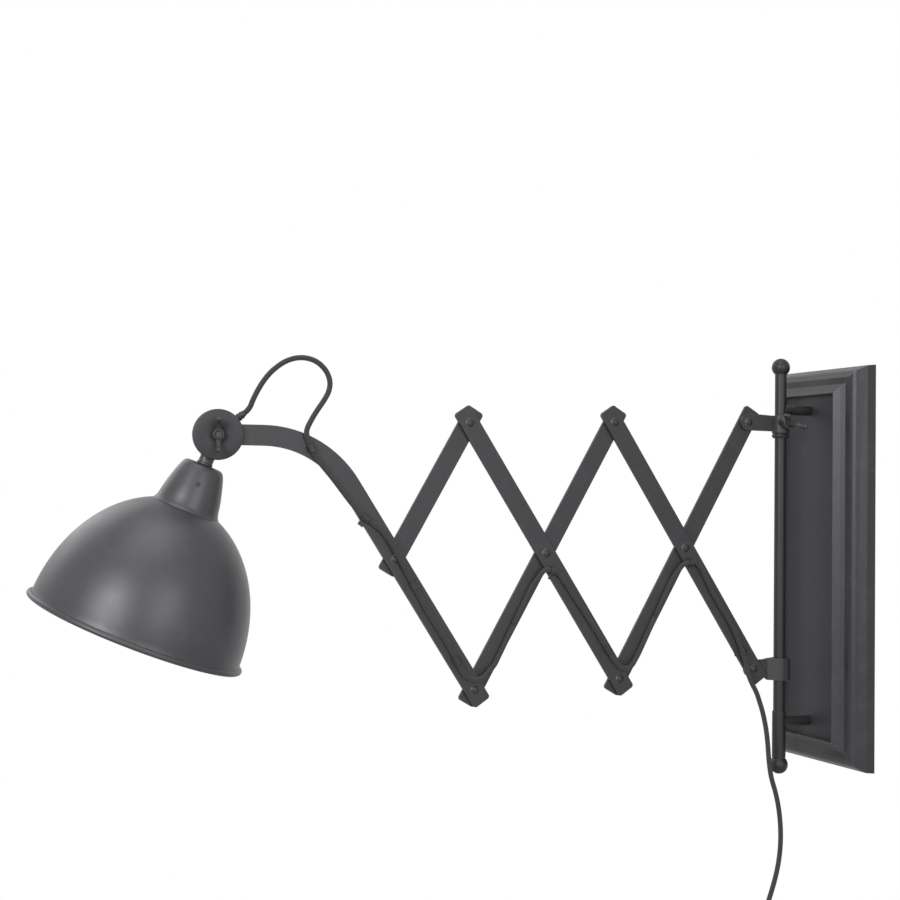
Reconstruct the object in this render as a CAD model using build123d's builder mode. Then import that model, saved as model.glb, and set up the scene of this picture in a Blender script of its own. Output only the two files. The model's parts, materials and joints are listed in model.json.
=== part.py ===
from build123d import *
from math import asin, cos, hypot, pi, radians, sin, sqrt, tan
import os

# Accordion wall lamp. Millimetres, +Z up. The origin is the centre of the wall plate's back face,
# the wall is the plane X = 0 and the arm reaches out along -X. -Y is the side of the wing screw.

# ---- wall plate -------------------------------------------------------------------------------
plate_height = 415
plate_width = 153
moulding_height = 32            # how far the inner lip stands off the wall
moulding_width = 29
groove_height = 23.5            # the flat band between the outer curve and the inner slope
lip_thickness = 6               # from the lip's crest down to the panel
panel_thickness = 2
rebate = 4                      # how far the panel reaches under the lip
rebate_gap = 0.3
keyhole_spacing = 280
keyhole_head_radius = 4.5
keyhole_slot_radius = 2.2
keyhole_slot_length = 12
keyhole_rise = 4                # middle of the slot above the hole
hanger_sheet = 1.5
hanger_height = 24
hanger_flange = 12

# ---- guide rod and what it carries ------------------------------------------------------------
rod_radius = 6
rod_offset = 62.5               # rod axis off the wall
ball_radius = 9.5
post_radius = 5
post_inset = 45                 # from the plate's end to a post's middle
post_height = plate_height / 2 - post_inset
ball_beyond = 44.5              # from a post's middle to the ball beyond it
ball_centre = post_height + ball_beyond
post_screw_radius = 2
post_screw_depth = 10
post_screw_head = 2.4
hex_key_radius = 1.6
socket_floor = 0.6
stop_tube_wall = 1
stop_tube_shown = 11            # above the lower post
stop_tube_top = stop_tube_shown - post_height
sleeve_radius = 9
sleeve_below = 24.5             # from the upper post down to the sleeve's lower end
sleeve_bottom = post_height - sleeve_below
sleeve_length = 18.5
collar_radius = 9.3
collar_height = 5.2
collar_bevel = 1.4              # of its V-shaped rim
running_gap = 0.1               # radial, sleeve on rod
boss_radius = 7
boss_end = -16.5
clamp_rise = 11.2               # the clamp screw above the sleeve's lower end
clamp_height = sleeve_bottom + clamp_rise
clamp_screw_radius = 3
clamp_tip_gap = 0.3
wing_tilt = -27                 # how the wing screw stands, degrees
wing_hub_radius = 5
wing_hub_height = 7
wing_span = 15                  # from the screw's axis to a wing's tip
wing_sheet = 2.4
edge_break = 0.6                # small chamfers on turned pieces

# ---- links ------------------------------------------------------------------------------------
half_link = 150                 # pivot to pivot
link_angle = 58.34              # between a link and the arm's line, as the photograph shows it
link_width = 19
link_thickness = 3
link_overhang = 15              # from an end pivot to the end of the bar
link_corner = 3
link_edge = 0.4                 # chamfer round the outer face
washer_thickness = 0.6
washer_radius = 7
rivet_radius = 2.5
rivet_head_radius = 4.5
rivet_head_height = 2
rivet_gap = 0.05                # radial, in the link that turns on the rivet
leaf_up = 41.5                  # rod axis to the upper bracket's pivot
leaf_down = 33.5                # rod axis to the lower bracket's pivot
leaf_rise = 10.76               # the upper pivot above the sleeve's lower end
top_pivot_height = sleeve_bottom + leaf_rise
upper_leaf_width = 17.5
lower_leaf_width = 18
leaf_foot_low = 1.5             # from the sleeve's ends to where the leaf meets it
leaf_foot_high = 1

# ---- lower bracket ----------------------------------------------------------------------------
strap_rise = 10.068             # from the lower pivot up to the strap's top
strap_height = 22.5
strap_sheet = 1.5
strap_side_gap = 1.3            # rod to strap, each side
strap_outer_gap = 1.6           # rod to strap, away from the wall
strap_wall_gap = 4.3            # rod to strap, towards the wall
strap_throat = 13.5             # rod axis to the place where the two tails meet
strap_rivet_radius = 1.5
strap_rivet_head = 0.6
strap_rivet_inset = 7           # from the strap's edges
leaf_shoulder = 6               # over which the leaf widens to the strap

# ---- swan neck and elbow ----------------------------------------------------------------------
neck_reach = 170.335            # from the neck's middle pivot out to the elbow
neck_rise = 112.887             # and up to it
head_turn = 11                  # the elbow's axis is turned this much about Z
head_lean = 3.1                 # and its far end is this much higher, in degrees
neck_bend = 100                 # radius of its centre line
twist_start = 31.8              # from the elbow's axis, where the neck's end turns and leans
twist_end = 21.8
elbow_radius = 23
elbow_cover_thickness = 4.5
elbow_bolt_radius = 3
elbow_cover_round = 1.8
bolt_head_radius = 5.5
bolt_head = 3
bolt_tip = 0.8                  # bolt past the wing nut's hub
friction_washer = 1.2           # room it takes between the neck and the pieces beside it
friction_room = 0.05            # running clearance of it to the neck
friction_washer_radius = 14
housing_radius = 22
housing_depth = 15.2
housing_wall = 2
housing_round = 1
cap_thickness = 1.6
nut_radius = 6
nut_height = 8
nut_wing_reach = 16
nut_wing_sheet = 2.6

# ---- head, along the shade's axis from the rim plane ------------------------------------------
head_tilt = 21.2
rim_radius = 103
bead_radius = 3.2
bead_step = 4.5                 # how far the rolled rim stands out from the dome
dome_radius = rim_radius - bead_step
dome_height = 125.1             # of the whole half ellipse
sheet = 1
dome_seam = 118.5
cup_wall = 1.5
cup_top_radius = 17
cup_outline = ((28.4, 0.172), (26.7, 0.379), (25.8, 0.517), (22.8, 0.701), (20.8, 0.862))
                                # radius, share of the cup's height
set_screw_drop = 10             # below the lampholder's top
set_screw_radius = 2
set_screw_length = 5.4
set_screw_gap = 0.3
slot_width = 0.7
slot_depth = 1.7
stem_radius = 6.7
stem_shown = 7.9                # between the cup and the elbow's housing
nipple_radius = 5
nipple_bore = 3.5
nipple_inside = 7               # how far the nipple reaches past each wall
gland_angle = 39
gland_radius = 3.75
gland_length = 9
holder_radius = 19.5
holder_mouth = 104
holder_height = 50
holder_room = 8                 # from the lampholder to the cup's top face
holder_bore = 13.4
lamp_cap_depth = 30
holder_flange = 24
flange_height = 2.5
holder_shoulder = 8             # height of the cone at its upper end
holder_neck = 12
contact_thickness = 12
contact_length = 14
contact_width = 5
contact_spring = 1.2
ring_radius = 25
ring_height = 5
ring_notches = 16
ring_notch_radius = 1.2

# ---- cord -------------------------------------------------------------------------------------
cord_radius = 2.5
clip_sheet = 0.8
clip_width = 6
clip_tab = 5
clip_gap = 0.6                  # cord to clip, room for the cord's bends
lead_length = 1800              # last clip to plug
coil_diameter = 55              # middle of its turns
coil_bundle = 8.2               # half the bundle's width
coil_drop = 26.2                # lead's end to the coil's middle
tie_gap = 0.3
tie_sheet = 1
tie_width = 6
plug_drop = 44                  # the coil's middle to the plug's shoulder
plug_length = 30
plug_width = 35
plug_depth = 13.7
plug_taper = 4
plug_round = 2
relief_top = 21.3               # how far below the coil's middle the strain relief begins
relief_radius = 3.5
pin_spacing = 18.6
pin_length = 19
pin_radius = 2

# ---- worked out from the sizes above ----------------------------------------------------------
droop = asin((leaf_up - leaf_down) / (2 * half_link * sin(radians(link_angle))))
along = half_link * cos(radians(link_angle))
across = half_link * sin(radians(link_angle))
front_y = -washer_thickness / 2                  # back face of the front links
back_y = washer_thickness / 2                    # front face of the back links
front_face = front_y - link_thickness
back_face = back_y + link_thickness


def pivot(i, j):
    """Place of the pivot i half steps out along the arm and j half steps down."""
    x = -rod_offset - leaf_up - i * along * cos(droop) + j * across * sin(droop)
    z = top_pivot_height - i * along * sin(droop) - j * across * cos(droop)
    return x, z


p0, t2, t1 = pivot(0, 0), pivot(2, 0), pivot(4, 0)
m3, m2, m1 = pivot(1, 1), pivot(3, 1), pivot(5, 1)
lb, b2, b1 = pivot(0, 2), pivot(2, 2), pivot(4, 2)
turn = radians(head_turn)
elbow_x, elbow_z = m1[0] - neck_reach, m1[1] + neck_rise
elbow_y = front_y - link_thickness / 2 + (twist_start + twist_end) / 2 * sin(turn)
strap_top = lb[1] + strap_rise
holder_top = holder_mouth + holder_height
set_screw_height = holder_top - set_screw_drop
cup_top = holder_top + holder_room
head_reach = cup_top + stem_shown + housing_radius      # elbow axis to rim plane


def side_plane(y, at=(0, 0), towards=(1, 0)):
    """Plane facing the viewer (-Y) with its x axis running from one place to another."""
    length = hypot(towards[0], towards[1])
    run = (towards[0] / length, 0, towards[1] / length)
    return Plane(origin=(at[0], y, at[1]), x_dir=run, z_dir=(0, -1, 0))


def heading(start, end):
    return end[0] - start[0], end[1] - start[1]


def finish(piece, name):
    piece.part.label = name
    export_step(piece.part, f"parts/{name}.step")


os.makedirs("parts", exist_ok=True)

# ---- wall plate: four mitred mouldings round a flat panel -------------------------------------
lip_back = moulding_height - lip_thickness
rebate_edge = moulding_width - rebate


def mitred_side(plane, length):
    """One side of the frame: the section swept straight, its ends cut to the mitre."""
    with BuildPart() as side:
        with BuildSketch(plane.offset(-length / 2)):
            with BuildLine():
                edge = Line((0, 0), (9.5, 0.9))
                bow = Spline(edge @ 1, (15, 3.6), (20, 6.6), (22.6, 9.8), (groove_height, 12.5))
                groove = Line(bow @ 1, (groove_height, 19))
                slope = Line(groove @ 1, (26.6, 23))
                crest = Line(slope @ 1, (moulding_height, moulding_width - 0.8))
                Polyline(crest @ 1, (moulding_height, moulding_width), (lip_back, moulding_width),
                         (lip_back, rebate_edge), (0, rebate_edge), (0, 0))
            make_face()
        extrude(amount=length)
        for end in (1, -1):
            corner = plane.from_local_coords(Vector(0, 0, end * length / 2))
            cut = Plane(origin=corner, z_dir=plane.z_dir * end + plane.y_dir)
            split(bisect_by=cut, keep=Keep.BOTTOM)
    return side.part


def moulding(name, length, planes):
    """Two facing sides of the frame in one node."""
    pieces = [mitred_side(plane, length) for plane in planes]
    with BuildPart() as sides:
        add(pieces)
    finish(sides, name)


half_height = plate_height / 2
half_width = plate_width / 2
out = (-1, 0, 0)
moulding("frame_rails", plate_width,
         (Plane(origin=(0, 0, half_height), x_dir=out, z_dir=(0, -1, 0)),
          Plane(origin=(0, 0, -half_height), x_dir=out, z_dir=(0, 1, 0))))
moulding("frame_stiles", plate_height,
         (Plane(origin=(0, -half_width, 0), x_dir=out, z_dir=(0, 0, -1)),
          Plane(origin=(0, half_width, 0), x_dir=out, z_dir=(0, 0, 1))))

panel_face = -lip_back
panel_back = panel_face + panel_thickness
panel_inset = rebate_edge + rebate_gap
with BuildPart() as back_panel:
    with BuildSketch(Plane.YZ.offset(panel_face)):
        Rectangle(plate_width - 2 * panel_inset, plate_height - 2 * panel_inset)
        with Locations((0, post_height), (0, -post_height)):
            Circle(post_screw_radius, mode=Mode.SUBTRACT)
    extrude(amount=panel_thickness)
finish(back_panel, "back_panel")

# Two hanger plates across the back, each with a keyhole and a flange along each side moulding.
hanger_width = plate_width - 2 * panel_inset
with BuildPart() as hanger_plates:
    for side in (1, -1):
        level = side * keyhole_spacing / 2
        with BuildSketch(Plane.YZ):
            with Locations((0, level)):
                Rectangle(hanger_width, hanger_height)
                Circle(keyhole_head_radius, mode=Mode.SUBTRACT)
            with Locations((0, level + keyhole_rise)):
                SlotOverall(keyhole_slot_length, 2 * keyhole_slot_radius, rotation=90, mode=Mode.SUBTRACT)
        extrude(amount=-hanger_sheet)
        with BuildSketch(Plane.YZ):
            with Locations((hanger_width / 2 - hanger_sheet / 2, level),
                           (hanger_sheet / 2 - hanger_width / 2, level)):
                Rectangle(hanger_sheet, hanger_height)
        extrude(amount=-hanger_flange)
finish(hanger_plates, "hanger_plates")

# ---- guide rod, its balls, posts, stop tube and collar ----------------------------------------
rod_x = -rod_offset
stop_tube_radius = rod_radius + stop_tube_wall
stop_tube_end = sqrt(ball_radius ** 2 - rod_radius ** 2) - ball_centre      # where the ball begins

with BuildPart() as guide_rod:
    with BuildSketch(Plane.XY.offset(-ball_centre)):
        with Locations((rod_x, 0)):
            Circle(rod_radius)
    extrude(amount=2 * ball_centre)
finish(guide_rod, "guide_rod")

with BuildPart() as rod_balls:
    with Locations((rod_x, 0, ball_centre), (rod_x, 0, -ball_centre)):
        Sphere(ball_radius)
    with BuildSketch(Plane.XY.offset(-ball_centre)):
        with Locations((rod_x, 0)):
            Circle(rod_radius)
    extrude(amount=2 * ball_centre, mode=Mode.SUBTRACT)
finish(rod_balls, "rod_balls")

with BuildPart() as posts:
    for level, reach in ((post_height, rod_radius), (-post_height, stop_tube_radius)):
        with BuildSketch(Plane.YZ.offset(rod_x)):
            with Locations((0, level)):
                Circle(post_radius)
        extrude(amount=rod_offset + panel_face)
        with BuildSketch(Plane.XY.offset(level - post_radius)):
            with Locations((rod_x, 0)):
                Circle(reach)
        extrude(amount=2 * post_radius, mode=Mode.SUBTRACT)
        with BuildSketch(Plane.YZ.offset(panel_face)):
            with Locations((0, level)):
                Circle(post_screw_radius)
        extrude(amount=-post_screw_depth, mode=Mode.SUBTRACT)
    feet = posts.edges().filter_by(GeomType.CIRCLE).group_by(Axis.X)[-1]
    chamfer(feet.group_by(SortBy.RADIUS)[-1], edge_break)
finish(posts, "posts")

with BuildPart() as post_screws:
    for level in (post_height, -post_height):
        with BuildSketch(Plane.YZ.offset(panel_back)):
            with Locations((0, level)):
                Circle(post_screw_radius)
        extrude(amount=-panel_thickness - post_screw_depth)
        with BuildSketch(Plane.YZ.offset(panel_back)):
            with Locations((0, level)):
                Circle(2 * post_screw_radius)
                RegularPolygon(hex_key_radius, 6, mode=Mode.SUBTRACT)
        extrude(amount=post_screw_head)
        with BuildSketch(Plane.YZ.offset(panel_back)):
            with Locations((0, level)):
                RegularPolygon(hex_key_radius, 6)
        extrude(amount=socket_floor)
finish(post_screws, "post_screws")

with BuildPart() as stop_tube:
    with BuildSketch(Plane.XY.offset(stop_tube_top)):
        with Locations((rod_x, 0)):
            Circle(stop_tube_radius)
            Circle(rod_radius, mode=Mode.SUBTRACT)
    extrude(amount=stop_tube_end - stop_tube_top)
    chamfer(stop_tube.edges().group_by(Axis.Z)[-1].sort_by(SortBy.RADIUS)[-1], stop_tube_wall / 2)
finish(stop_tube, "stop_tube")

with BuildPart() as set_collar:
    with BuildSketch(Plane.XZ):
        with BuildLine():
            half = collar_height / 2
            middle = sleeve_bottom - half
            bevel = rod_x + collar_radius - collar_bevel
            Polyline((rod_x + rod_radius, middle - half), (bevel, middle - half),
                     (rod_x + collar_radius, middle), (bevel, middle + half),
                     (rod_x + rod_radius, middle + half), close=True)
        make_face()
    revolve(axis=Axis((rod_x, 0, 0), (0, 0, 1)))
finish(set_collar, "set_collar")

# ---- upper bracket: sleeve, leaf and clamp boss ------------------------------------------------
sleeve_top = sleeve_bottom + sleeve_length
with BuildPart() as upper_bracket:
    with BuildSketch(Plane.XY.offset(sleeve_bottom)):
        with Locations((rod_x, 0)):
            Circle(sleeve_radius)
    extrude(amount=sleeve_length)
    chamfer(upper_bracket.edges().filter_by(GeomType.CIRCLE), edge_break)
    with BuildSketch(side_plane(front_y)):
        with Locations(p0):
            Circle(upper_leaf_width / 2)
        with BuildLine():
            x, z = p0
            Polyline((x, z - upper_leaf_width / 2), (rod_x, sleeve_bottom + leaf_foot_low),
                     (rod_x, sleeve_top - leaf_foot_high), (x, z + upper_leaf_width / 2), close=True)
        make_face()
        with Locations(p0):
            Circle(rivet_radius, mode=Mode.SUBTRACT)
    extrude(amount=link_thickness)
    with BuildSketch(side_plane(0)):
        with Locations((rod_x, clamp_height)):
            Circle(boss_radius)
    extrude(amount=-boss_end)
    chamfer(upper_bracket.edges().filter_by(GeomType.CIRCLE).sort_by(Axis.Y)[0], edge_break)
    with BuildSketch(Plane.XY.offset(sleeve_bottom)):
        with Locations((rod_x, 0)):
            Circle(rod_radius + running_gap)
    extrude(amount=sleeve_length, mode=Mode.SUBTRACT)
    with BuildSketch(side_plane(0)):
        with Locations((rod_x, clamp_height)):
            Circle(clamp_screw_radius + rivet_gap)
    extrude(amount=-boss_end, mode=Mode.SUBTRACT)
finish(upper_bracket, "upper_bracket")

# Wing screw: shank, round hub and two wings that flare outwards.
wing_plane = Plane(origin=(rod_x, boss_end, clamp_height),
                   x_dir=(cos(radians(wing_tilt)), 0, sin(radians(wing_tilt))), z_dir=(0, -1, 0))
with BuildPart() as wing_screw:
    with BuildSketch(wing_plane.offset(boss_end + rod_radius + clamp_tip_gap)):
        Circle(clamp_screw_radius)
    extrude(amount=-boss_end - rod_radius - clamp_tip_gap)
    with BuildSketch(wing_plane):
        Circle(wing_hub_radius)
    extrude(amount=wing_hub_height, taper=10)
    wing_side = Plane(origin=wing_plane.origin, x_dir=wing_plane.x_dir, z_dir=-wing_plane.y_dir)
    for side in (1, -1):
        root, tip = side * wing_hub_radius / 2, side * wing_span
        with BuildSketch(wing_side.offset(-wing_sheet / 2)):
            with BuildLine():
                Spline((root, 1), (tip * 0.7, 5), (tip, 12), (tip * 0.8, 15.5), (tip * 0.53, 11),
                       (root, wing_hub_height - 0.5))
                Line((root, wing_hub_height - 0.5), (root, 1))
            make_face()
        extrude(amount=wing_sheet)
finish(wing_screw, "wing_screw")

# ---- links: flat bars in two layers that cross at their middles --------------------------------
link_length = 2 * half_link + 2 * link_overhang


def link(name, start, end, layer, holes):
    """Flat bar from one end pivot to the other; holes is a list of (place, radius)."""
    with BuildPart() as bar:
        length = hypot(*heading(start, end))
        with BuildSketch(side_plane(layer, start, heading(start, end))):
            with Locations((length / 2, 0)):
                RectangleRounded(length + 2 * link_overhang, link_width, link_corner)
        extrude(amount=-link_thickness if layer > 0 else link_thickness)
        with BuildSketch(side_plane(layer)):
            for place, radius in holes:
                with Locations(place):
                    Circle(radius)
        extrude(amount=-link_thickness if layer > 0 else link_thickness, mode=Mode.SUBTRACT)
        rim = bar.edges().filter_by(GeomType.CIRCLE, reverse=True).filter_by(
            lambda e: abs(e.center().Y - layer) > link_thickness / 2)
        chamfer(rim, link_edge)
    finish(bar, name)


turning = rivet_radius + rivet_gap
rivet_dome_radius = (rivet_head_radius ** 2 + rivet_head_height ** 2) / (2 * rivet_head_height)
link("link_a", p0, b2, back_y, [(p0, turning), (m3, turning), (b2, turning)])
link("link_b", t2, lb, front_y, [(t2, rivet_radius), (m3, rivet_radius), (lb, rivet_radius)])
link("link_c", t2, b1, back_y, [(t2, turning), (m2, turning), (b1, turning)])
link("link_d", t1, b2, front_y, [(t1, rivet_radius), (m2, rivet_radius), (b2, rivet_radius)])
link("short_link", t1, m1, back_y, [(t1, turning), (m1, turning)])


def rivets(name, places):
    """Domed rivets through both layers, one at each pivot."""
    head = rivet_head_radius
    with BuildPart() as group:
        for x, z in places:
            with BuildSketch(Plane.XY.offset(z)):
                with BuildLine():
                    front_tip = front_face - rivet_head_height
                    back_tip = back_face + rivet_head_height
                    RadiusArc((x, front_tip), (x + head, front_face), -rivet_dome_radius)
                    Polyline((x + head, front_face), (x + rivet_radius, front_face),
                             (x + rivet_radius, back_face), (x + head, back_face))
                    RadiusArc((x + head, back_face), (x, back_tip), -rivet_dome_radius)
                    Line((x, back_tip), (x, front_tip))
                make_face()
            revolve(axis=Axis((x, 0, z), (0, 1, 0)))
    finish(group, name)


def washers(name, places):
    """Thin washers between the two layers."""
    with BuildPart() as group:
        with BuildSketch(side_plane(back_y)):
            with Locations(*places):
                Circle(washer_radius)
                Circle(rivet_radius, mode=Mode.SUBTRACT)
        extrude(amount=washer_thickness)
    finish(group, name)


for suffix, places in (("bracket", [p0]), ("link_b", [t2, m3, lb]), ("link_d", [t1, m2, b2]),
                       ("neck", [m1, b1])):
    rivets("rivets_" + suffix, places)
    washers("washers_" + suffix, places)

# ---- lower bracket: one strap folded round the rod, its tails riveted together as the leaf ------
strap_level = strap_top - strap_height
tail_y = back_y + link_thickness / 2
bend = rod_radius + strap_side_gap + strap_sheet
outer_bend_x = rod_x - rod_radius - strap_outer_gap - strap_sheet + bend
wall_bend_x = rod_x + rod_radius + strap_wall_gap + strap_sheet - bend
throat_x = rod_x - strap_throat
with BuildPart() as rod_strap:
    with BuildSketch(Plane.XY.offset(strap_level)):
        with Locations((outer_bend_x, 0), (wall_bend_x, 0)):
            Circle(bend)
        with Locations((throat_x, tail_y)):
            Rectangle(strap_sheet, link_thickness)
        make_hull()
    extrude(amount=strap_height)
    with BuildSketch(Plane.XY.offset(strap_level)):
        with Locations((outer_bend_x, 0), (wall_bend_x, 0)):
            Circle(bend - strap_sheet)
        with Locations((throat_x + strap_sheet + 1, tail_y)):
            Circle(0.3)
        make_hull()
    extrude(amount=strap_height, mode=Mode.SUBTRACT)
    with BuildSketch(side_plane(back_y)):
        with BuildLine():
            x, z = lb
            Polyline((x, z - lower_leaf_width / 2), (throat_x - leaf_shoulder, z - lower_leaf_width / 2),
                     (throat_x, strap_level), (throat_x, strap_top),
                     (throat_x - leaf_shoulder, z + lower_leaf_width / 2), (x, z + lower_leaf_width / 2),
                     close=True)
        make_face()
        with Locations(lb):
            Circle(lower_leaf_width / 2)
            Circle(turning, mode=Mode.SUBTRACT)
    extrude(amount=-link_thickness)
finish(rod_strap, "rod_strap")

strap_rivet_x = throat_x - leaf_shoulder / 2
with BuildPart() as strap_rivets:
    for level in (strap_level + strap_rivet_inset, strap_top - strap_rivet_inset):
        for face, way in ((back_y, 1), (back_face, -1)):
            with BuildSketch(side_plane(face, (strap_rivet_x, level))):
                Circle(strap_rivet_radius)
            extrude(amount=way * strap_rivet_head, taper=20)
finish(strap_rivets, "strap_rivets")

# ---- swan neck: a link whose upper end bends level and ends in a turned, leaned eye -------------
up_line = heading(b1, m1)
rise = hypot(*up_line)
up_x, up_z = up_line[0] / rise, up_line[1] / rise
corner_x = m1[0] + up_x * (elbow_z - m1[1]) / up_z
bend_angle = radians(90) - asin(-up_x)
half_wide = link_width / 2


def neck_edge(side):
    """Corner points of one long edge; side is 1 on the inside of the bend and -1 outside."""
    foot = (b1[0] - up_x * link_overhang - side * up_z * half_wide,
            b1[1] - up_z * link_overhang + side * up_x * half_wide)
    corner = (corner_x - side * tan(bend_angle / 2) * half_wide, elbow_z - side * half_wide)
    return foot, corner, (elbow_x + twist_start, elbow_z - side * half_wide)


lean = radians(head_lean)
lean_axis = Vector(sin(turn) * cos(lean), cos(turn) * cos(lean), sin(lean))
head_level = Vector(cos(turn), -sin(turn), 0)
lean_up = head_level.cross(lean_axis)
elbow = Vector(elbow_x, elbow_y, elbow_z)
elbow_plane = Plane(origin=elbow, x_dir=head_level, z_dir=-lean_axis)

with BuildPart() as swan_neck:
    with BuildSketch(side_plane(front_y)):
        with BuildLine():
            inner = FilletPolyline(*neck_edge(1), radius=neck_bend - half_wide)
            outer = FilletPolyline(*neck_edge(-1), radius=neck_bend + half_wide)
            Line(inner @ 0, outer @ 0)
            Line(inner @ 1, outer @ 1)
        make_face()
    extrude(amount=link_thickness)
    foot_edges = swan_neck.edges().filter_by(Axis.Y).sort_by(Axis.Z)[0:2]
    fillet(foot_edges, link_corner)
    with BuildSketch(Plane(origin=(elbow_x + twist_start, front_y - link_thickness / 2, elbow_z),
                           x_dir=(0, 1, 0), z_dir=(-1, 0, 0))):
        Rectangle(link_thickness, link_width)
    with BuildSketch(Plane(origin=elbow + head_level * twist_end,
                           x_dir=lean_axis, z_dir=-head_level)):
        Rectangle(link_thickness, link_width)
    loft()
    with BuildSketch(elbow_plane.offset(-link_thickness / 2)):
        SlotCenterPoint((0, 0), (1, 0), link_width)
        with Locations((twist_end / 2, 0)):
            Rectangle(twist_end, link_width)
        with Locations((twist_end + link_width / 2 + 2, 0)):
            Rectangle(link_width + 4, link_width + 4, mode=Mode.SUBTRACT)
        Circle(elbow_bolt_radius + rivet_gap, mode=Mode.SUBTRACT)
    extrude(amount=link_thickness)
    with BuildSketch(side_plane(front_y)):
        with Locations(m1, b1):
            Circle(rivet_radius)
    extrude(amount=link_thickness, mode=Mode.SUBTRACT)
finish(swan_neck, "swan_neck")

# ---- elbow: cover disc, friction washer, hollow housing with its cap, bolt and wing nut ---------
neck_front = link_thickness / 2                  # distances towards the viewer from the neck's end
cover_back = neck_front + friction_washer
cover_front = cover_back + elbow_cover_thickness
housing_front = -link_thickness / 2 - friction_washer
head_offset = -housing_front + housing_depth / 2

with BuildPart() as elbow_cover:
    with BuildSketch(elbow_plane.offset(cover_back)):
        Circle(elbow_radius)
    extrude(amount=elbow_cover_thickness)
    face_edge = elbow_cover.edges().sort_by(Axis(elbow, lean_axis))[0]
    fillet(face_edge, elbow_cover_round)
    with BuildSketch(elbow_plane.offset(cover_back)):
        Circle(elbow_bolt_radius)
    extrude(amount=elbow_cover_thickness, mode=Mode.SUBTRACT)
finish(elbow_cover, "elbow_cover")

with BuildPart() as friction_washers:
    for level in (neck_front + friction_room, housing_front):
        with BuildSketch(elbow_plane.offset(level)):
            Circle(friction_washer_radius)
            Circle(elbow_bolt_radius, mode=Mode.SUBTRACT)
        extrude(amount=friction_washer - friction_room)
finish(friction_washers, "friction_washers")

tilt = radians(head_tilt)
axis_up = lean_up * cos(tilt) + head_level * sin(tilt)
axis_side = head_level * cos(tilt) - lean_up * sin(tilt)
head_centre = elbow + lean_axis * head_offset
rim_centre = head_centre - axis_up * head_reach
head_axis = Axis(rim_centre, axis_up)
head_plane = Plane(origin=rim_centre, x_dir=axis_side, z_dir=axis_up)
section = Plane(origin=rim_centre, x_dir=axis_side, z_dir=axis_side.cross(axis_up))
gland_way = head_level * cos(radians(gland_angle)) + lean_up * sin(radians(gland_angle))
gland_plane = Plane(origin=head_centre, z_dir=gland_way)
housing_back = housing_front - housing_depth

with BuildPart() as elbow_housing:
    with BuildSketch(elbow_plane.offset(housing_back)):
        Circle(housing_radius)
    extrude(amount=housing_depth)
    housing_edges = elbow_housing.edges().filter_by(GeomType.CIRCLE)
    fillet(housing_edges.sort_by(Axis(elbow, lean_axis))[0], housing_round)
    with BuildSketch(elbow_plane.offset(housing_back)):
        Circle(housing_radius - housing_wall)
    extrude(amount=housing_depth - housing_wall, mode=Mode.SUBTRACT)
    with BuildSketch(elbow_plane.offset(housing_back)):
        Circle(elbow_bolt_radius)
    extrude(amount=housing_depth, mode=Mode.SUBTRACT)
    with BuildSketch(head_plane.offset(head_reach)):
        Circle(nipple_radius)
    extrude(amount=-housing_radius, mode=Mode.SUBTRACT)
    with BuildSketch(gland_plane):
        Circle(cord_radius)
    extrude(amount=housing_radius, mode=Mode.SUBTRACT)
finish(elbow_housing, "elbow_housing")

with BuildPart() as housing_cap:
    with BuildSketch(elbow_plane.offset(housing_back)):
        Circle(housing_radius - housing_wall)
    extrude(amount=cap_thickness)
finish(housing_cap, "housing_cap")

with BuildPart() as elbow_bolt:
    with BuildSketch(elbow_plane.offset(housing_front - housing_wall)):
        RegularPolygon(bolt_head_radius, 6)
    extrude(amount=-bolt_head)
    with BuildSketch(elbow_plane.offset(housing_front - housing_wall)):
        Circle(elbow_bolt_radius)
    extrude(amount=cover_front + nut_height + bolt_tip - housing_front + housing_wall)
finish(elbow_bolt, "elbow_bolt")

with BuildPart() as wing_nut:
    with BuildSketch(elbow_plane.offset(cover_front)):
        Circle(nut_radius)
    extrude(amount=nut_height, taper=8)
    upright = Plane(origin=elbow - lean_axis * cover_front, x_dir=lean_up, z_dir=head_level)
    for side in (1, -1):
        root, tip = side * nut_radius * 0.6, side * nut_wing_reach
        with BuildSketch(upright.offset(-nut_wing_sheet / 2)):
            with BuildLine():
                Spline((root, 1.5), (tip * 0.63, 4), (tip, 10), (tip * 0.88, 14.5),
                       (tip * 0.56, 10.5), (root, nut_height - 1))
                Line((root, nut_height - 1), (root, 1.5))
            make_face()
        extrude(amount=nut_wing_sheet)
    with BuildSketch(elbow_plane.offset(cover_front)):
        Circle(elbow_bolt_radius + rivet_gap)
    extrude(amount=nut_height, mode=Mode.SUBTRACT)
finish(wing_nut, "wing_nut")

with BuildPart() as cord_gland:
    with BuildSketch(gland_plane.offset(housing_radius)):
        Circle(gland_radius)
    extrude(amount=gland_length, taper=6)
    with BuildSketch(gland_plane.offset(housing_radius - housing_wall - 1)):
        Circle(gland_radius)
    extrude(amount=housing_wall + 1)
    with BuildSketch(elbow_plane.offset(housing_back)):
        Circle(housing_radius)
    extrude(amount=housing_depth, mode=Mode.SUBTRACT)
    with BuildSketch(gland_plane):
        Circle(cord_radius)
    extrude(amount=housing_radius + gland_length, mode=Mode.SUBTRACT)
finish(cord_gland, "cord_gland")

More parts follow.
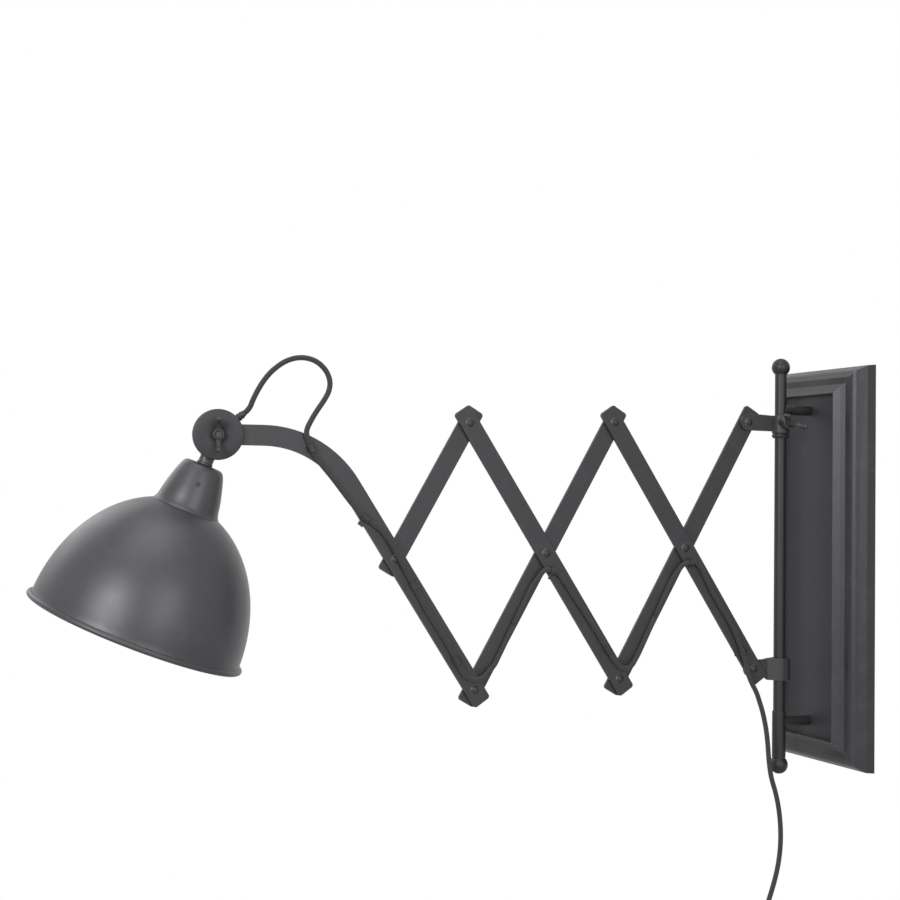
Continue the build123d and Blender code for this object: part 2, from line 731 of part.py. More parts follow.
# ---- stem, neck cup, lampholder, shade ring and shade: turned forms on the shade's axis ---------
drum_bottom = head_reach - housing_radius
with BuildPart() as stem:
    with BuildSketch(head_plane.offset(cup_top)):
        Circle(stem_radius)
    extrude(amount=head_reach - cup_top - housing_radius / 2)
    with BuildSketch(elbow_plane.offset(housing_back)):
        Circle(housing_radius)
    extrude(amount=housing_depth, mode=Mode.SUBTRACT)
    with BuildSketch(head_plane.offset(cup_top - nipple_inside)):
        Circle(nipple_radius)
    extrude(amount=drum_bottom - cup_top + 2 * nipple_inside)
    with BuildSketch(head_plane.offset(cup_top - nipple_inside)):
        Circle(nipple_bore)
    extrude(amount=drum_bottom - cup_top + 2 * nipple_inside, mode=Mode.SUBTRACT)
finish(stem, "stem")


seam_radius = dome_radius * sqrt(1 - (dome_seam / dome_height) ** 2)


def cup_profile(inset):
    """Half outline of the neck cup, from its skirt's foot to the middle of its top."""
    top = cup_top - inset
    foot = (seam_radius - inset, dome_seam)
    shoulder = (cup_top_radius - inset, top)
    Polyline(shoulder, (0, top), (0, dome_seam), foot)
    Spline(foot, *[(radius - inset, dome_seam + share * (top - dome_seam))
                   for radius, share in cup_outline], shoulder)


with BuildPart() as neck_cup:
    with BuildSketch(section):
        with BuildLine():
            cup_profile(0)
        make_face()
    revolve(axis=head_axis)
    with BuildSketch(section):
        with BuildLine():
            cup_profile(cup_wall)
        make_face()
    revolve(axis=head_axis, mode=Mode.SUBTRACT)
    with BuildSketch(head_plane.offset(cup_top - cup_wall)):
        Circle(nipple_radius)
    extrude(amount=cup_wall, mode=Mode.SUBTRACT)
    screw_plane = Plane(origin=rim_centre + axis_up * set_screw_height, z_dir=-lean_axis)
    with BuildSketch(screw_plane):
        Circle(set_screw_radius)
    extrude(amount=dome_radius, mode=Mode.SUBTRACT)
finish(neck_cup, "neck_cup")

with BuildPart() as set_screw:
    screw_tip = holder_radius + set_screw_gap
    with BuildSketch(screw_plane.offset(screw_tip)):
        Circle(set_screw_radius)
    extrude(amount=set_screw_length)
    with BuildSketch(screw_plane.offset(screw_tip + set_screw_length)):
        Rectangle(2.5 * set_screw_radius, slot_width)
    extrude(amount=-slot_depth, mode=Mode.SUBTRACT)
finish(set_screw, "set_screw")

contact_top = holder_mouth + lamp_cap_depth + contact_thickness
with BuildPart() as lampholder:
    with BuildSketch(section):
        with BuildLine():
            Polyline((holder_bore, holder_mouth), (holder_radius, holder_mouth),
                     (holder_radius, dome_seam), (holder_flange, dome_seam),
                     (holder_flange, dome_seam + flange_height),
                     (holder_radius, dome_seam + flange_height),
                     (holder_radius, holder_top - holder_shoulder),
                     (holder_neck, holder_top), (nipple_radius, holder_top),
                     (nipple_radius, contact_top), (holder_bore, contact_top), close=True)
        make_face()
    revolve(axis=head_axis)
finish(lampholder, "lampholder")

with BuildPart() as holder_contact:
    with BuildSketch(head_plane.offset(holder_mouth + lamp_cap_depth)):
        Circle(holder_bore)
    extrude(amount=contact_thickness)
    with BuildSketch(head_plane.offset(holder_mouth + lamp_cap_depth)):
        Rectangle(contact_length, contact_width)
    extrude(amount=-contact_spring)
finish(holder_contact, "holder_contact")

shade_top_wall = dome_seam - sheet
with BuildPart() as shade_ring:
    with BuildSketch(head_plane.offset(shade_top_wall - ring_height)):
        Circle(ring_radius)
        with PolarLocations(ring_radius, ring_notches):
            Circle(ring_notch_radius, mode=Mode.SUBTRACT)
        Circle(holder_radius, mode=Mode.SUBTRACT)
    extrude(amount=ring_height)
finish(shade_ring, "shade_ring")

with BuildPart() as shade:
    with BuildSketch(section):
        Ellipse(dome_radius, dome_height)
        Ellipse(dome_radius - sheet, dome_height - sheet, mode=Mode.SUBTRACT)
        Rectangle(2 * dome_radius, dome_seam, align=(Align.MIN, Align.MIN), mode=Mode.INTERSECT)
        with Locations((holder_radius, shade_top_wall)):
            Rectangle(seam_radius - holder_radius, sheet, align=(Align.MIN, Align.MIN))
        with Locations((rim_radius - bead_radius, 0)):
            Circle(bead_radius)
    revolve(axis=head_axis)
finish(shade, "shade")

# ---- cord: straight runs joined by arcs, clipped to the links and free between them -------------
on_front = front_face - cord_radius              # cord's centre on the front links
on_back = back_y - cord_radius                   # and on the back links


def beside(start, end, distance, lateral, y):
    """Point beside a link, a distance from one pivot towards another; lateral is to its left."""
    dx, dz = heading(start, end)
    length = hypot(dx, dz)
    x = start[0] + (dx * distance - dz * lateral) / length
    z = start[1] + (dz * distance + dx * lateral) / length
    return x, y, z


def beyond(end, before, distance):
    """Point straight on from a route's end, the way that its last run goes."""
    way = (Vector(*end) - Vector(*before)).normalized()
    return tuple(Vector(*end) + way * distance)


def cord(name, points):
    """Tube along runs joined by arcs as large as the runs allow; the radii are printed."""
    points = [Vector(*p) for p in points]
    radii = []
    for before, at, after in zip(points, points[1:], points[2:]):
        shorter = min((at - before).length, (after - at).length)
        angle = radians((at - before).get_angle(after - at))
        radii.append(0.45 * shorter / tan(angle / 2))
    with BuildPart() as tube:
        with BuildLine() as path:
            if radii:
                FilletPolyline(*points, radius=radii)
            else:
                Line(*points)
        with BuildSketch(Plane(origin=path.line @ 0, z_dir=path.line % 0)):
            Circle(cord_radius)
        sweep()
    length = sum(edge.length for edge in path.edges())
    due = length * pi * cord_radius ** 2
    print(name, "length %.1f" % length, "volume / due %.4f" % (tube.part.volume / due),
          "radii", [round(r, 1) for r in radii])
    finish(tube, name)
    return length


on_neck = [(-580.0, on_front, 115.4), (-576.0, on_front, 106.3), (-567.9, on_front, 95.4),
           (-559.0, on_front, 85.8), (-549.6, on_front, 74.3), (-540.5, on_front, 63.0),
           (-530.4, on_front, 51.6), (-518.5, on_front, 43.2), (-508.6, on_front - 1.2, 36.4),
           (-501.0, on_front - 2.2, 27.0), (-493.8, on_front - 2.4, 15.2),
           (-486.6, on_front - 1.7, 2.9), (-479.3, on_front - 0.3, -9.6),
           (-471.9, on_front, -22.2), (-463.4, on_front, -37.2), (-453.6, on_front, -51.6),
           (-443.0, on_front, -67.0), (-434.2, on_front, -81.2), (-427.4, on_front, -94.0)]
c_start = beside(b1, m2, 36, -6.4, on_back)      # runs along the back links
c_end = beside(b1, m2, 108, -3.4, on_back)
a_start = beside(b2, m3, 36, -6.4, on_back)
a_end = beside(b2, m3, 108, -3.4, on_back)
on_d = [(-332.6, on_front, -2.6), (-326.0, on_front, -4.2), (-320.4, on_front, -9.2),
        (-314.4, on_front, -17.2), (-307.0, on_front, -27.6), (-297.4, on_front, -40.4),
        beside(m2, b2, 88, 3.4, on_front), beside(m2, b2, 110, 3.9, on_front),
        beside(m2, b2, 124, 4.2, on_front)]
on_b = [(-176.2, on_front, 3.6), (-169.4, on_front, 4.4), (-163.6, on_front, 1.0),
        (-159.0, on_front, -5.8), (-154.4, on_front, -14.4), (-148.6, on_front, -25.0),
        (-141.0, on_front, -37.0), beside(m3, lb, 92, 2.4, on_front),
        beside(m3, lb, 118, -0.8, on_front), beside(m3, lb, 132, -4.2, on_front)]

turn_b1 = [on_neck[-1], beyond(on_neck[-1], on_neck[-2], 7), (-416.6, on_front, -105.6),
           (-408.2, on_front, -107.0), (-401.2, -5.5, -103.8), (-396.0, -4.0, -97.8),
           beyond(c_start, c_end, 6), c_start]
turn_m2 = [c_end, beyond(c_end, c_start, 7), (-348.6, -3.0, -15.2), (-343.8, -4.6, -8.2),
           beyond(on_d[0], on_d[1], 6), on_d[0]]
turn_b2 = [on_d[-1], beyond(on_d[-1], on_d[-2], 7), (-253.6, on_front, -99.6),
           (-246.6, on_front, -101.4), (-240.4, -4.8, -98.2), (-235.8, -3.6, -92.0),
           beyond(a_start, a_end, 6), a_start]
turn_m3 = [a_end, beyond(a_end, a_start, 7), (-191.4, -3.2, -9.8), (-186.6, -4.8, -2.6),
           beyond(on_b[0], on_b[1], 6), on_b[0]]

cord("cord_on_neck", on_neck)
cord("cord_turn_b1", turn_b1)
cord("cord_on_link_c", [c_start, c_end])
cord("cord_turn_m2", turn_m2)
cord("cord_on_link_d", on_d)
cord("cord_turn_b2", turn_b2)
cord("cord_on_link_a", [a_start, a_end])
cord("cord_turn_m3", turn_m3)
cord("cord_on_link_b", on_b)

gland_tip = head_centre + gland_way * (housing_radius + gland_length)
head_loop = [tuple(gland_tip), tuple(gland_tip + gland_way * 6), (-631.4, 5.4, 153.4),
             (-627.4, 3.6, 162.6), (-622.0, 1.6, 172.4), (-614.6, -0.2, 181.6), (-602.6, -1.8, 190.8),
             (-588.6, -3.2, 194.6), (-575.0, -4.2, 192.0), (-565.2, -4.8, 183.8),
             (-560.8, -5.2, 174.0), (-561.6, -5.6, 164.4), (-566.6, -6.0, 155.4),
             (-573.2, -6.2, 146.2), (-579.0, -6.2, 136.8),
             beyond(on_neck[0], on_neck[1], 11), on_neck[0]]
lead = [(-92.8, -8.6, -138.4), (-89.6, -9.4, -148.2), (-87.2, -10.2, -158.8),
        (-85.4, -11.0, -169.6), (-84.4, -11.8, -180.2), (-84.0, -12.6, -190.8),
        (-83.2, -13.2, -203.6), (-80.8, -13.6, -218.2), (-75.6, -13.8, -232.4),
        (-71.8, -13.9, -248.0), (-69.6, -14.0, -264.6), (-69.0, -14.0, -282.2),
        (-70.6, -14.0, -299.6), (-74.2, -14.0, -316.4), (-80.2, -14.0, -334.0),
        (-85.6, -14.0, -348.0), (-87.4, -14.0, -362.0)]
lead_top = [on_b[-1], beyond(on_b[-1], on_b[-2], 8), (-105.4, -6.6, -110.2),
            (-101.6, -7.2, -119.8), beyond(lead[0], lead[1], 9), lead[0]]
cord("cord_head_loop", head_loop)
shown = cord("cord_lead_top", lead_top) + cord("cord_lead", lead)

# The rest of the lead, put away as a tied coil that hangs at its end, with the plug beside it.
coil_turns = (lead_length - shown) / (pi * coil_diameter)
coil_x, coil_y = lead[-1][0] + coil_diameter / 2, lead[-1][1]
coil_z = lead[-1][2] - coil_drop
print("coil turns %.2f" % coil_turns)
with BuildPart() as cord_coil:
    with BuildSketch(Plane(origin=(coil_x, coil_y, coil_z), x_dir=(1, 0, 0), z_dir=(0, 0, 1))):
        with Locations((coil_diameter / 2, 0)):
            Circle(coil_bundle)
    revolve(axis=Axis((coil_x, coil_y, coil_z), (0, 1, 0)))
finish(cord_coil, "cord_coil")

with BuildPart() as coil_tie:
    with BuildSketch(Plane(origin=(coil_x + coil_diameter / 2, coil_y, coil_z),
                           x_dir=(1, 0, 0), z_dir=(0, 0, 1)).offset(-tie_width / 2)):
        Circle(coil_bundle + tie_gap + tie_sheet)
        Circle(coil_bundle + tie_gap, mode=Mode.SUBTRACT)
    extrude(amount=tie_width)
    with BuildSketch(Plane(origin=(coil_x, coil_y, coil_z), x_dir=(1, 0, 0), z_dir=(0, 0, 1))):
        with Locations((coil_diameter / 2, 0)):
            Circle(coil_bundle)
    revolve(axis=Axis((coil_x, coil_y, coil_z), (0, 1, 0)), mode=Mode.SUBTRACT)
finish(coil_tie, "coil_tie")

# Flat two-pin plug, hanging below the coil's outer turn on its tapered strain relief.
plug_x, plug_z = coil_x - coil_diameter / 2 - 2 * cord_radius, coil_z - plug_drop
with BuildPart() as plug:
    with BuildSketch(Plane.XY.offset(plug_z)):
        with Locations((plug_x, coil_y)):
            SlotOverall(plug_width, plug_depth)
    extrude(amount=-plug_length, taper=plug_taper)
    fillet(plug.edges().group_by(Axis.Z)[0], plug_round)
    with BuildSketch(Plane.XY.offset(plug_z - plug_length)):
        with Locations((plug_x - pin_spacing / 2, coil_y), (plug_x + pin_spacing / 2, coil_y)):
            Circle(pin_radius)
    extrude(amount=-pin_length)
    with BuildSketch(Plane.XY.offset(coil_z - relief_top)):
        with Locations((plug_x, coil_y)):
            Circle(relief_radius)
    extrude(amount=relief_top - plug_drop, taper=-plug_taper)
finish(plug, "plug")


def clips(name, spots):
    """Saddles of bent sheet over the cord, each with a tab on one side that lies on its link."""
    inside = cord_radius + clip_gap
    outside = inside + clip_sheet
    upward = (Align.CENTER, Align.MIN)
    with BuildPart() as group:
        for at, towards, side in spots:
            run = Vector(towards[0], 0, towards[1]).normalized() * side
            start = Vector(at[0], front_face, at[1]) - run * clip_width / 2
            with BuildSketch(Plane(origin=start, x_dir=(-run.Z, 0, run.X), z_dir=run)):
                with Locations((0, cord_radius)):
                    Circle(outside)
                    Rectangle(2 * outside, outside, align=(Align.CENTER, Align.MAX),
                              mode=Mode.SUBTRACT)
                Rectangle(2 * outside, cord_radius, align=upward)
                with Locations((outside, 0)):
                    Rectangle(clip_tab, clip_sheet, align=(Align.MIN, Align.MIN))
                with Locations((0, cord_radius)):
                    Circle(inside, mode=Mode.SUBTRACT)
                Rectangle(2 * inside, cord_radius, align=upward, mode=Mode.SUBTRACT)
            extrude(amount=clip_width)
    finish(group, name)


def on_route(points, index):
    """Middle of a run of the route, its direction, as seen from the side."""
    (x1, _, z1), (x2, _, z2) = points[index], points[index + 1]
    return ((x1 + x2) / 2, (z1 + z2) / 2), (x2 - x1, z2 - z1)


neck_clips = ((0, 1), (6, -1), (12, -1), (17, -1))      # which run of the route, which side the tab
clips("clips_neck", [(*on_route(on_neck, n), side) for n, side in neck_clips])
clips("clips_link_d", [(*on_route(on_d, n), -1) for n in (0, 7)])
clips("clips_link_b", [(*on_route(on_b, n), -1) for n in (0, 8)])
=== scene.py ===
import bpy
import bmesh
import json
import math
from mathutils import Matrix, Vector

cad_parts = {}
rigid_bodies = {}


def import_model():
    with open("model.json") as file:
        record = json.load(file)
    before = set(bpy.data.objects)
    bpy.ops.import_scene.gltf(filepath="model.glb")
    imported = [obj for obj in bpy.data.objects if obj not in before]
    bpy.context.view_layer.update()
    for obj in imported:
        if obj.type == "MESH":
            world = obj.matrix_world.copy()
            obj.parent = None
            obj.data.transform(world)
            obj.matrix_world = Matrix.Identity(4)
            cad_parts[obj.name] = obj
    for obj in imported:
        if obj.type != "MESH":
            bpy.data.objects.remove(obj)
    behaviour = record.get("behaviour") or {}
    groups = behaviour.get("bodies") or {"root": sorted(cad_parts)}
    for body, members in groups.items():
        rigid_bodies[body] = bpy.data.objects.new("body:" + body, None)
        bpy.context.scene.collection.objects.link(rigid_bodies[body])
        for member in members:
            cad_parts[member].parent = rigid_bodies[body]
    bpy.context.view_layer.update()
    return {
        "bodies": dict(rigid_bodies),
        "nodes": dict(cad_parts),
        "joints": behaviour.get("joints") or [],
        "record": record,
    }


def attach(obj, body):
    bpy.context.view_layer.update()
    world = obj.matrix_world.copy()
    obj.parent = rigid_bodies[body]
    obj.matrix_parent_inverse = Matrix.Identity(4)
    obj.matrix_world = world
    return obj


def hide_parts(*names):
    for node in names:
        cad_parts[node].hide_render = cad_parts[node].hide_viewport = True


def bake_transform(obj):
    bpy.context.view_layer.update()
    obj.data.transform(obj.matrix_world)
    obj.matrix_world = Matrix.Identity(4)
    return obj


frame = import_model()
nodes = frame["nodes"]
print("frame loaded:", len(nodes), "nodes")

# outlines, routes and sizes below are in mm, the scene is in metres
mm = 0.001

# where the photo was taken from: metres, degrees, and mm for the lens
cameraView = {
    "place": (-1.020637, -1.380499, 0.070303),
    "turn": 22.88,       # from +Y towards +X
    "pitch": 1.61,
    "roll": 0.67,
    "lens": 62.837,
    "sensor": 36,
    "farthest": 50,
}


# one direction turned away from +Y towards +X and raised, the level one to its right, and the third
def threeWays(turn, rise):
    ahead = Vector((math.sin(turn) * math.cos(rise), math.cos(turn) * math.cos(rise), math.sin(rise)))
    level = Vector((math.cos(turn), -math.sin(turn), 0))
    return ahead, level, level.cross(ahead)


def addObject(name, data):
    obj = bpy.data.objects.new(name, data)
    bpy.context.collection.objects.link(obj)
    return obj


def makeCamera(v):
    turn, pitch, roll = (math.radians(v[k]) for k in ("turn", "pitch", "roll"))
    ahead, level, over = threeWays(turn, pitch)
    right = level * math.cos(roll) + over * math.sin(roll)
    up = over * math.cos(roll) - level * math.sin(roll)
    data = bpy.data.cameras.new("photoCamera")
    data.lens = v["lens"]
    data.sensor_width = v["sensor"]
    data.clip_end = v["farthest"]
    camera = addObject("photoCamera", data)
    turned = Matrix((right, up, -ahead)).transposed().to_4x4()
    camera.matrix_world = Matrix.Translation(v["place"]) @ turned
    bpy.context.scene.camera = camera


makeCamera(cameraView)
bpy.context.scene.view_settings.view_transform = "Standard"

studio = {
    "lamps": (            # name, place, size, watts
        ("softKey", (-2.2, -1.5, 0.7), 1.1, 44),
        ("softFill", (-0.2, -2.4, 0.5), 1.2, 20),
        ("softTop", (-0.7, -0.5, 1.9), 1.4, 16),
        ("softBack", (-1.4, 1.8, 1.4), 1.6, 12),
    ),
    "aim": (-0.4, 0, 0),
    "worldGrey": 0.6,
    "worldStrength": 0.45,
    "floorSize": 4,
    "floorHeight": -1.3,
    "floorGrey": 0.86,
    "floorRoughness": 0.9,
}


def makeLamps(v):
    for name, place, size, watts in v["lamps"]:
        data = bpy.data.lights.new(name, "AREA")
        data.energy = watts
        data.size = size
        lamp = addObject(name, data)
        lamp.location = place
        away = Vector(v["aim"]) - Vector(place)
        lamp.rotation_euler = away.to_track_quat("-Z", "Y").to_euler()


# 1 where the ray comes from the camera, a gloss or a glass, otherwise 0
def seenOrMirrored(tree):
    path = tree.nodes.new("ShaderNodeLightPath")
    total = path.outputs["Is Camera Ray"]
    for name in ("Is Glossy Ray", "Is Transmission Ray"):
        more = tree.nodes.new("ShaderNodeMath")
        more.operation = "MAXIMUM"
        tree.links.new(total, more.inputs[0])
        tree.links.new(path.outputs[name], more.inputs[1])
        total = more.outputs[0]
    return total


def makeWorld(v):
    world = bpy.data.worlds.new("studioWorld")
    bpy.context.scene.world = world
    world.use_nodes = True
    tree = world.node_tree
    tree.nodes.clear()
    plain = tree.nodes.new("ShaderNodeBackground")
    plain.inputs["Color"].default_value = (v["worldGrey"],) * 3 + (1,)
    plain.inputs["Strength"].default_value = v["worldStrength"]
    white = tree.nodes.new("ShaderNodeBackground")
    white.inputs["Color"].default_value = (1, 1, 1, 1)
    white.inputs["Strength"].default_value = 1
    mix = tree.nodes.new("ShaderNodeMixShader")
    out = tree.nodes.new("ShaderNodeOutputWorld")
    tree.links.new(seenOrMirrored(tree), mix.inputs[0])
    tree.links.new(plain.outputs[0], mix.inputs[1])
    tree.links.new(white.outputs[0], mix.inputs[2])
    tree.links.new(mix.outputs[0], out.inputs[0])


def newMaterial(name):
    material = bpy.data.materials.new(name)
    material.use_nodes = True
    return material, material.node_tree, material.node_tree.nodes["Principled BSDF"]


def makeFloor(v):
    bpy.ops.mesh.primitive_plane_add(size=v["floorSize"], location=(v["aim"][0], 0, v["floorHeight"]))
    floor = bpy.context.object
    floor.name = "paleFloor"
    material, tree, shader = newMaterial("floorWhite")
    shader.inputs["Base Color"].default_value = (v["floorGrey"],) * 3 + (1,)
    shader.inputs["Roughness"].default_value = v["floorRoughness"]
    floor.data.materials.append(material)


makeLamps(studio)
makeWorld(studio)
makeFloor(studio)
bpy.ops.object.select_all(action="DESELECT")
print("camera and lights made")


def newGroup(name, inputs, outputs):
    group = bpy.data.node_groups.new(name, "ShaderNodeTree")
    for label, kind, value in inputs:
        socket = group.interface.new_socket(label, in_out="INPUT", socket_type=kind)
        socket.default_value = value
    for label, kind in outputs:
        group.interface.new_socket(label, in_out="OUTPUT", socket_type=kind)
    start = group.nodes.new("NodeGroupInput")
    end = group.nodes.new("NodeGroupOutput")
    return group, start, end


def mathNode(tree, kind, a, b=None):
    node = tree.nodes.new("ShaderNodeMath")
    node.operation = kind
    for socket, value in zip(node.inputs, (a, b)):
        if value is None:
            continue
        if isinstance(value, (int, float)):
            socket.default_value = value
        else:
            tree.links.new(value, socket)
    return node.outputs[0]


def noiseNode(tree, place, scale, detail, rough=0.55):
    node = tree.nodes.new("ShaderNodeTexNoise")
    tree.links.new(place, node.inputs["Vector"])
    node.inputs["Detail"].default_value = detail
    node.inputs["Roughness"].default_value = rough
    if isinstance(scale, (int, float)):
        node.inputs["Scale"].default_value = scale
    else:
        tree.links.new(scale, node.inputs["Scale"])
    return node.outputs["Fac"]


def mixColour(tree, amount, first, second):
    node = tree.nodes.new("ShaderNodeMix")
    node.data_type = "RGBA"
    for socket, value in ((node.inputs[0], amount), (node.inputs[6], first), (node.inputs[7], second)):
        if isinstance(value, (int, float, tuple)):
            socket.default_value = value
        else:
            tree.links.new(value, socket)
    return node.outputs[2]


# powder coat: cloudy tone, fine grain and faint rubbed patches
powderCoat = {
    "cloudSize": 9.0,
    "cloudFrom": 0.35,
    "patchSize": 38.0,
    "patchFrom": 0.52,
    "patchGain": 2.2,
    "glossSpread": 0.22,
}


def makePaintGroup(v):
    colour, number = "NodeSocketColor", "NodeSocketFloat"
    group, start, end = newGroup(
        "powderCoat",
        (("Paint", colour, (0.07, 0.07, 0.075, 1)), ("Rubbed", colour, (0.11, 0.11, 0.115, 1)),
         ("Roughness", number, 0.5), ("Cloud", number, 0.25), ("Grain Size", number, 900.0)),
        (("Color", colour), ("Roughness", number), ("Height", number)))
    place = group.nodes.new("ShaderNodeTexCoord").outputs["Object"]
    cloud = noiseNode(group, place, v["cloudSize"], 4)
    patch = noiseNode(group, place, v["patchSize"], 5, 0.7)
    grain = noiseNode(group, place, start.outputs["Grain Size"], 2)
    rubbed = mathNode(group, "MULTIPLY", mathNode(group, "SUBTRACT", patch, v["patchFrom"]), v["patchGain"])
    rubbed = mathNode(group, "MAXIMUM", rubbed, 0.0)
    toned = mathNode(group, "SUBTRACT", cloud, v["cloudFrom"])
    toned = mathNode(group, "MULTIPLY", toned, start.outputs["Cloud"])
    amount = mathNode(group, "MAXIMUM", mathNode(group, "ADD", rubbed, toned), 0.0)
    amount = mathNode(group, "MINIMUM", amount, 1.0)
    group.links.new(mixColour(group, amount, start.outputs["Paint"], start.outputs["Rubbed"]),
                    end.inputs["Color"])
    varied = mathNode(group, "MULTIPLY", mathNode(group, "SUBTRACT", patch, 0.5), v["glossSpread"])
    group.links.new(mathNode(group, "ADD", start.outputs["Roughness"], varied), end.inputs["Roughness"])
    group.links.new(grain, end.inputs["Height"])
    return group


# worn edges: where a bevelled normal differs from the true one
edgeWear = {
    "samples": 4,
    "brokenSize": 260.0,
    "gain": 7.0,
}


def makeEdgeGroup(v):
    number = "NodeSocketFloat"
    group, start, end = newGroup("edgeWear", (("Width", number, 0.0006), ("Amount", number, 0.5)),
                                 (("Mask", number),))
    bevel = group.nodes.new("ShaderNodeBevel")
    bevel.samples = v["samples"]
    group.links.new(start.outputs["Width"], bevel.inputs["Radius"])
    flat = group.nodes.new("ShaderNodeNewGeometry").outputs["Normal"]
    dot = group.nodes.new("ShaderNodeVectorMath")
    dot.operation = "DOT_PRODUCT"
    group.links.new(bevel.outputs["Normal"], dot.inputs[0])
    group.links.new(flat, dot.inputs[1])
    place = group.nodes.new("ShaderNodeTexCoord").outputs["Object"]
    broken = noiseNode(group, place, v["brokenSize"], 4, 0.65)
    edge = mathNode(group, "SUBTRACT", 1.0, dot.outputs["Value"])
    edge = mathNode(group, "MULTIPLY", edge, v["gain"])
    mask = mathNode(group, "MULTIPLY", mathNode(group, "MULTIPLY", edge, broken), start.outputs["Amount"])
    group.links.new(mathNode(group, "MINIMUM", mask, 1.0), end.inputs["Mask"])
    return group


paintGroup = makePaintGroup(powderCoat)
edgeGroup = makeEdgeGroup(edgeWear)


def useGroup(tree, group, values):
    node = tree.nodes.new("ShaderNodeGroup")
    node.node_tree = group
    for label, value in values.items():
        node.inputs[label].default_value = value
    return node


def addBump(tree, shader, height, strength, distance):
    bump = tree.nodes.new("ShaderNodeBump")
    bump.inputs["Strength"].default_value = strength
    bump.inputs["Distance"].default_value = distance
    tree.links.new(height, bump.inputs["Height"])
    tree.links.new(bump.outputs["Normal"], shader.inputs["Normal"])


def grey(value, blue=1.05):
    return (value, value, value * blue, 1)


# a finish with "wear" in it shows a lighter tone along its edges
def makeFinish(name, v):
    material, tree, shader = newMaterial(name)
    coat = useGroup(tree, paintGroup, {"Paint": v["paint"], "Rubbed": v["rubbed"], "Cloud": v["cloud"],
                                       "Roughness": v["roughness"], "Grain Size": v["grain"]})
    colour = coat.outputs["Color"]
    if "wear" in v:
        wear = useGroup(tree, edgeGroup, {"Width": v["wearWidth"], "Amount": v["wear"]})
        colour = mixColour(tree, wear.outputs["Mask"], colour, v["worn"])
    tree.links.new(colour, shader.inputs["Base Color"])
    tree.links.new(coat.outputs["Roughness"], shader.inputs["Roughness"])
    shader.inputs["Metallic"].default_value = v["metallic"]
    shader.inputs["Specular IOR Level"].default_value = v["gloss"]
    addBump(tree, shader, coat.outputs["Height"], v["bump"], v["bumpDepth"])
    return material


paintLook = {
    "paint": grey(0.034, 1.07),
    "rubbed": grey(0.052, 1.07),
    "worn": grey(0.14),
    "roughness": 0.46,
    "cloud": 0.3,
    "grain": 1400.0,
    "wear": 0.5,
    "wearWidth": 0.0007,
    "metallic": 0.25,
    "gloss": 0.28,
    "bump": 0.22,
    "bumpDepth": 0.0002,
}
plainLook = {
    "cloud": 0.2,
    "grain": 1200.0,
    "metallic": 0.0,
    "gloss": 0.5,
    "bump": 0.15,
    "bumpDepth": 0.0002,
}
finishLooks = {
    "linkPaint": paintLook,
    "framePaint": {**paintLook, "paint": grey(0.03, 1.08), "rubbed": grey(0.05, 1.1),
                   "roughness": 0.36, "wear": 0.3},
    "panelPaint": {**paintLook, "paint": grey(0.03, 1.14), "rubbed": grey(0.045, 1.14),
                   "roughness": 0.5},
    # a darker copy of the link paint: painted shade on the rod, its balls, posts, stop tube and collar,
    # which carry the same paint as the links
    "rodPaintShaded": {**paintLook, "paint": grey(0.022), "rubbed": grey(0.034), "roughness": 0.4},
    "rivetPaint": {**paintLook, "paint": grey(0.03), "rubbed": grey(0.05), "roughness": 0.42,
                   "wear": 0.7},
    # a darker copy of the shade's paint: painted shade on the elbow's cover, housing and cap, which carry
    # the same paint as the shade
    "elbowPaintShaded": {**paintLook, "paint": grey(0.031, 1.08), "rubbed": grey(0.045, 1.08),
                   "roughness": 0.5},
    "shadePaint": {**paintLook, "paint": grey(0.05, 1.1), "rubbed": grey(0.07, 1.08),
                   "roughness": 0.4, "cloud": 0.35, "grain": 1100.0, "metallic": 0.35, "gloss": 0.4,
                   "bump": 0.3},
    "zincPlatedSteel": {**plainLook, "paint": grey(0.42), "rubbed": grey(0.34), "roughness": 0.32,
                        "metallic": 1.0},
    "blackenedSteel": {**plainLook, "paint": grey(0.035), "rubbed": grey(0.06), "roughness": 0.38,
                       "metallic": 0.6},
    "fibreWasher": {**plainLook, "paint": (0.016, 0.014, 0.012, 1),
                    "rubbed": (0.026, 0.022, 0.018, 1), "roughness": 0.75, "bump": 0.5},
    "mouldedPlastic": {**plainLook, "paint": grey(0.011), "rubbed": grey(0.016), "roughness": 0.42,
                       "grain": 2200.0},
    "brassContact": {**plainLook, "paint": (0.62, 0.43, 0.16, 1), "rubbed": (0.5, 0.32, 0.11, 1),
                     "roughness": 0.28, "metallic": 1.0},
}
finishes = {name: makeFinish(name, v) for name, v in finishLooks.items()}
print("finishes made")

# routes of the lead, from the gland at the head down to the coil
headLoop = [(-638.4, 7.8, 141.7), (-633.9, 6.7, 145.5), (-631.4, 5.4, 153.4), (-627.4, 3.6, 162.6),
            (-622.0, 1.6, 172.4), (-614.6, -0.2, 181.6), (-602.6, -1.8, 190.8), (-588.6, -3.2, 194.6),
            (-575.0, -4.2, 192.0), (-565.2, -4.8, 183.8), (-560.8, -5.2, 174.0), (-561.6, -5.6, 164.4),
            (-566.6, -6.0, 155.4), (-573.2, -6.2, 146.2), (-579.0, -6.2, 136.8), (-584.4, -5.8, 125.5)]
onNeck = [(-580.0, -5.8, 115.4), (-576.0, -5.8, 106.3), (-567.9, -5.8, 95.4), (-559.0, -5.8, 85.8),
          (-549.6, -5.8, 74.3), (-540.5, -5.8, 63.0), (-530.4, -5.8, 51.6), (-518.5, -5.8, 43.2),
          (-508.6, -7.0, 36.4), (-501.0, -8.0, 27.0), (-493.8, -8.2, 15.2), (-486.6, -7.5, 2.9),
          (-479.3, -6.1, -9.6), (-471.9, -5.8, -22.2), (-463.4, -5.8, -37.2), (-453.6, -5.8, -51.6),
          (-443.0, -5.8, -67.0), (-434.2, -5.8, -81.2), (-427.4, -5.8, -94.0)]
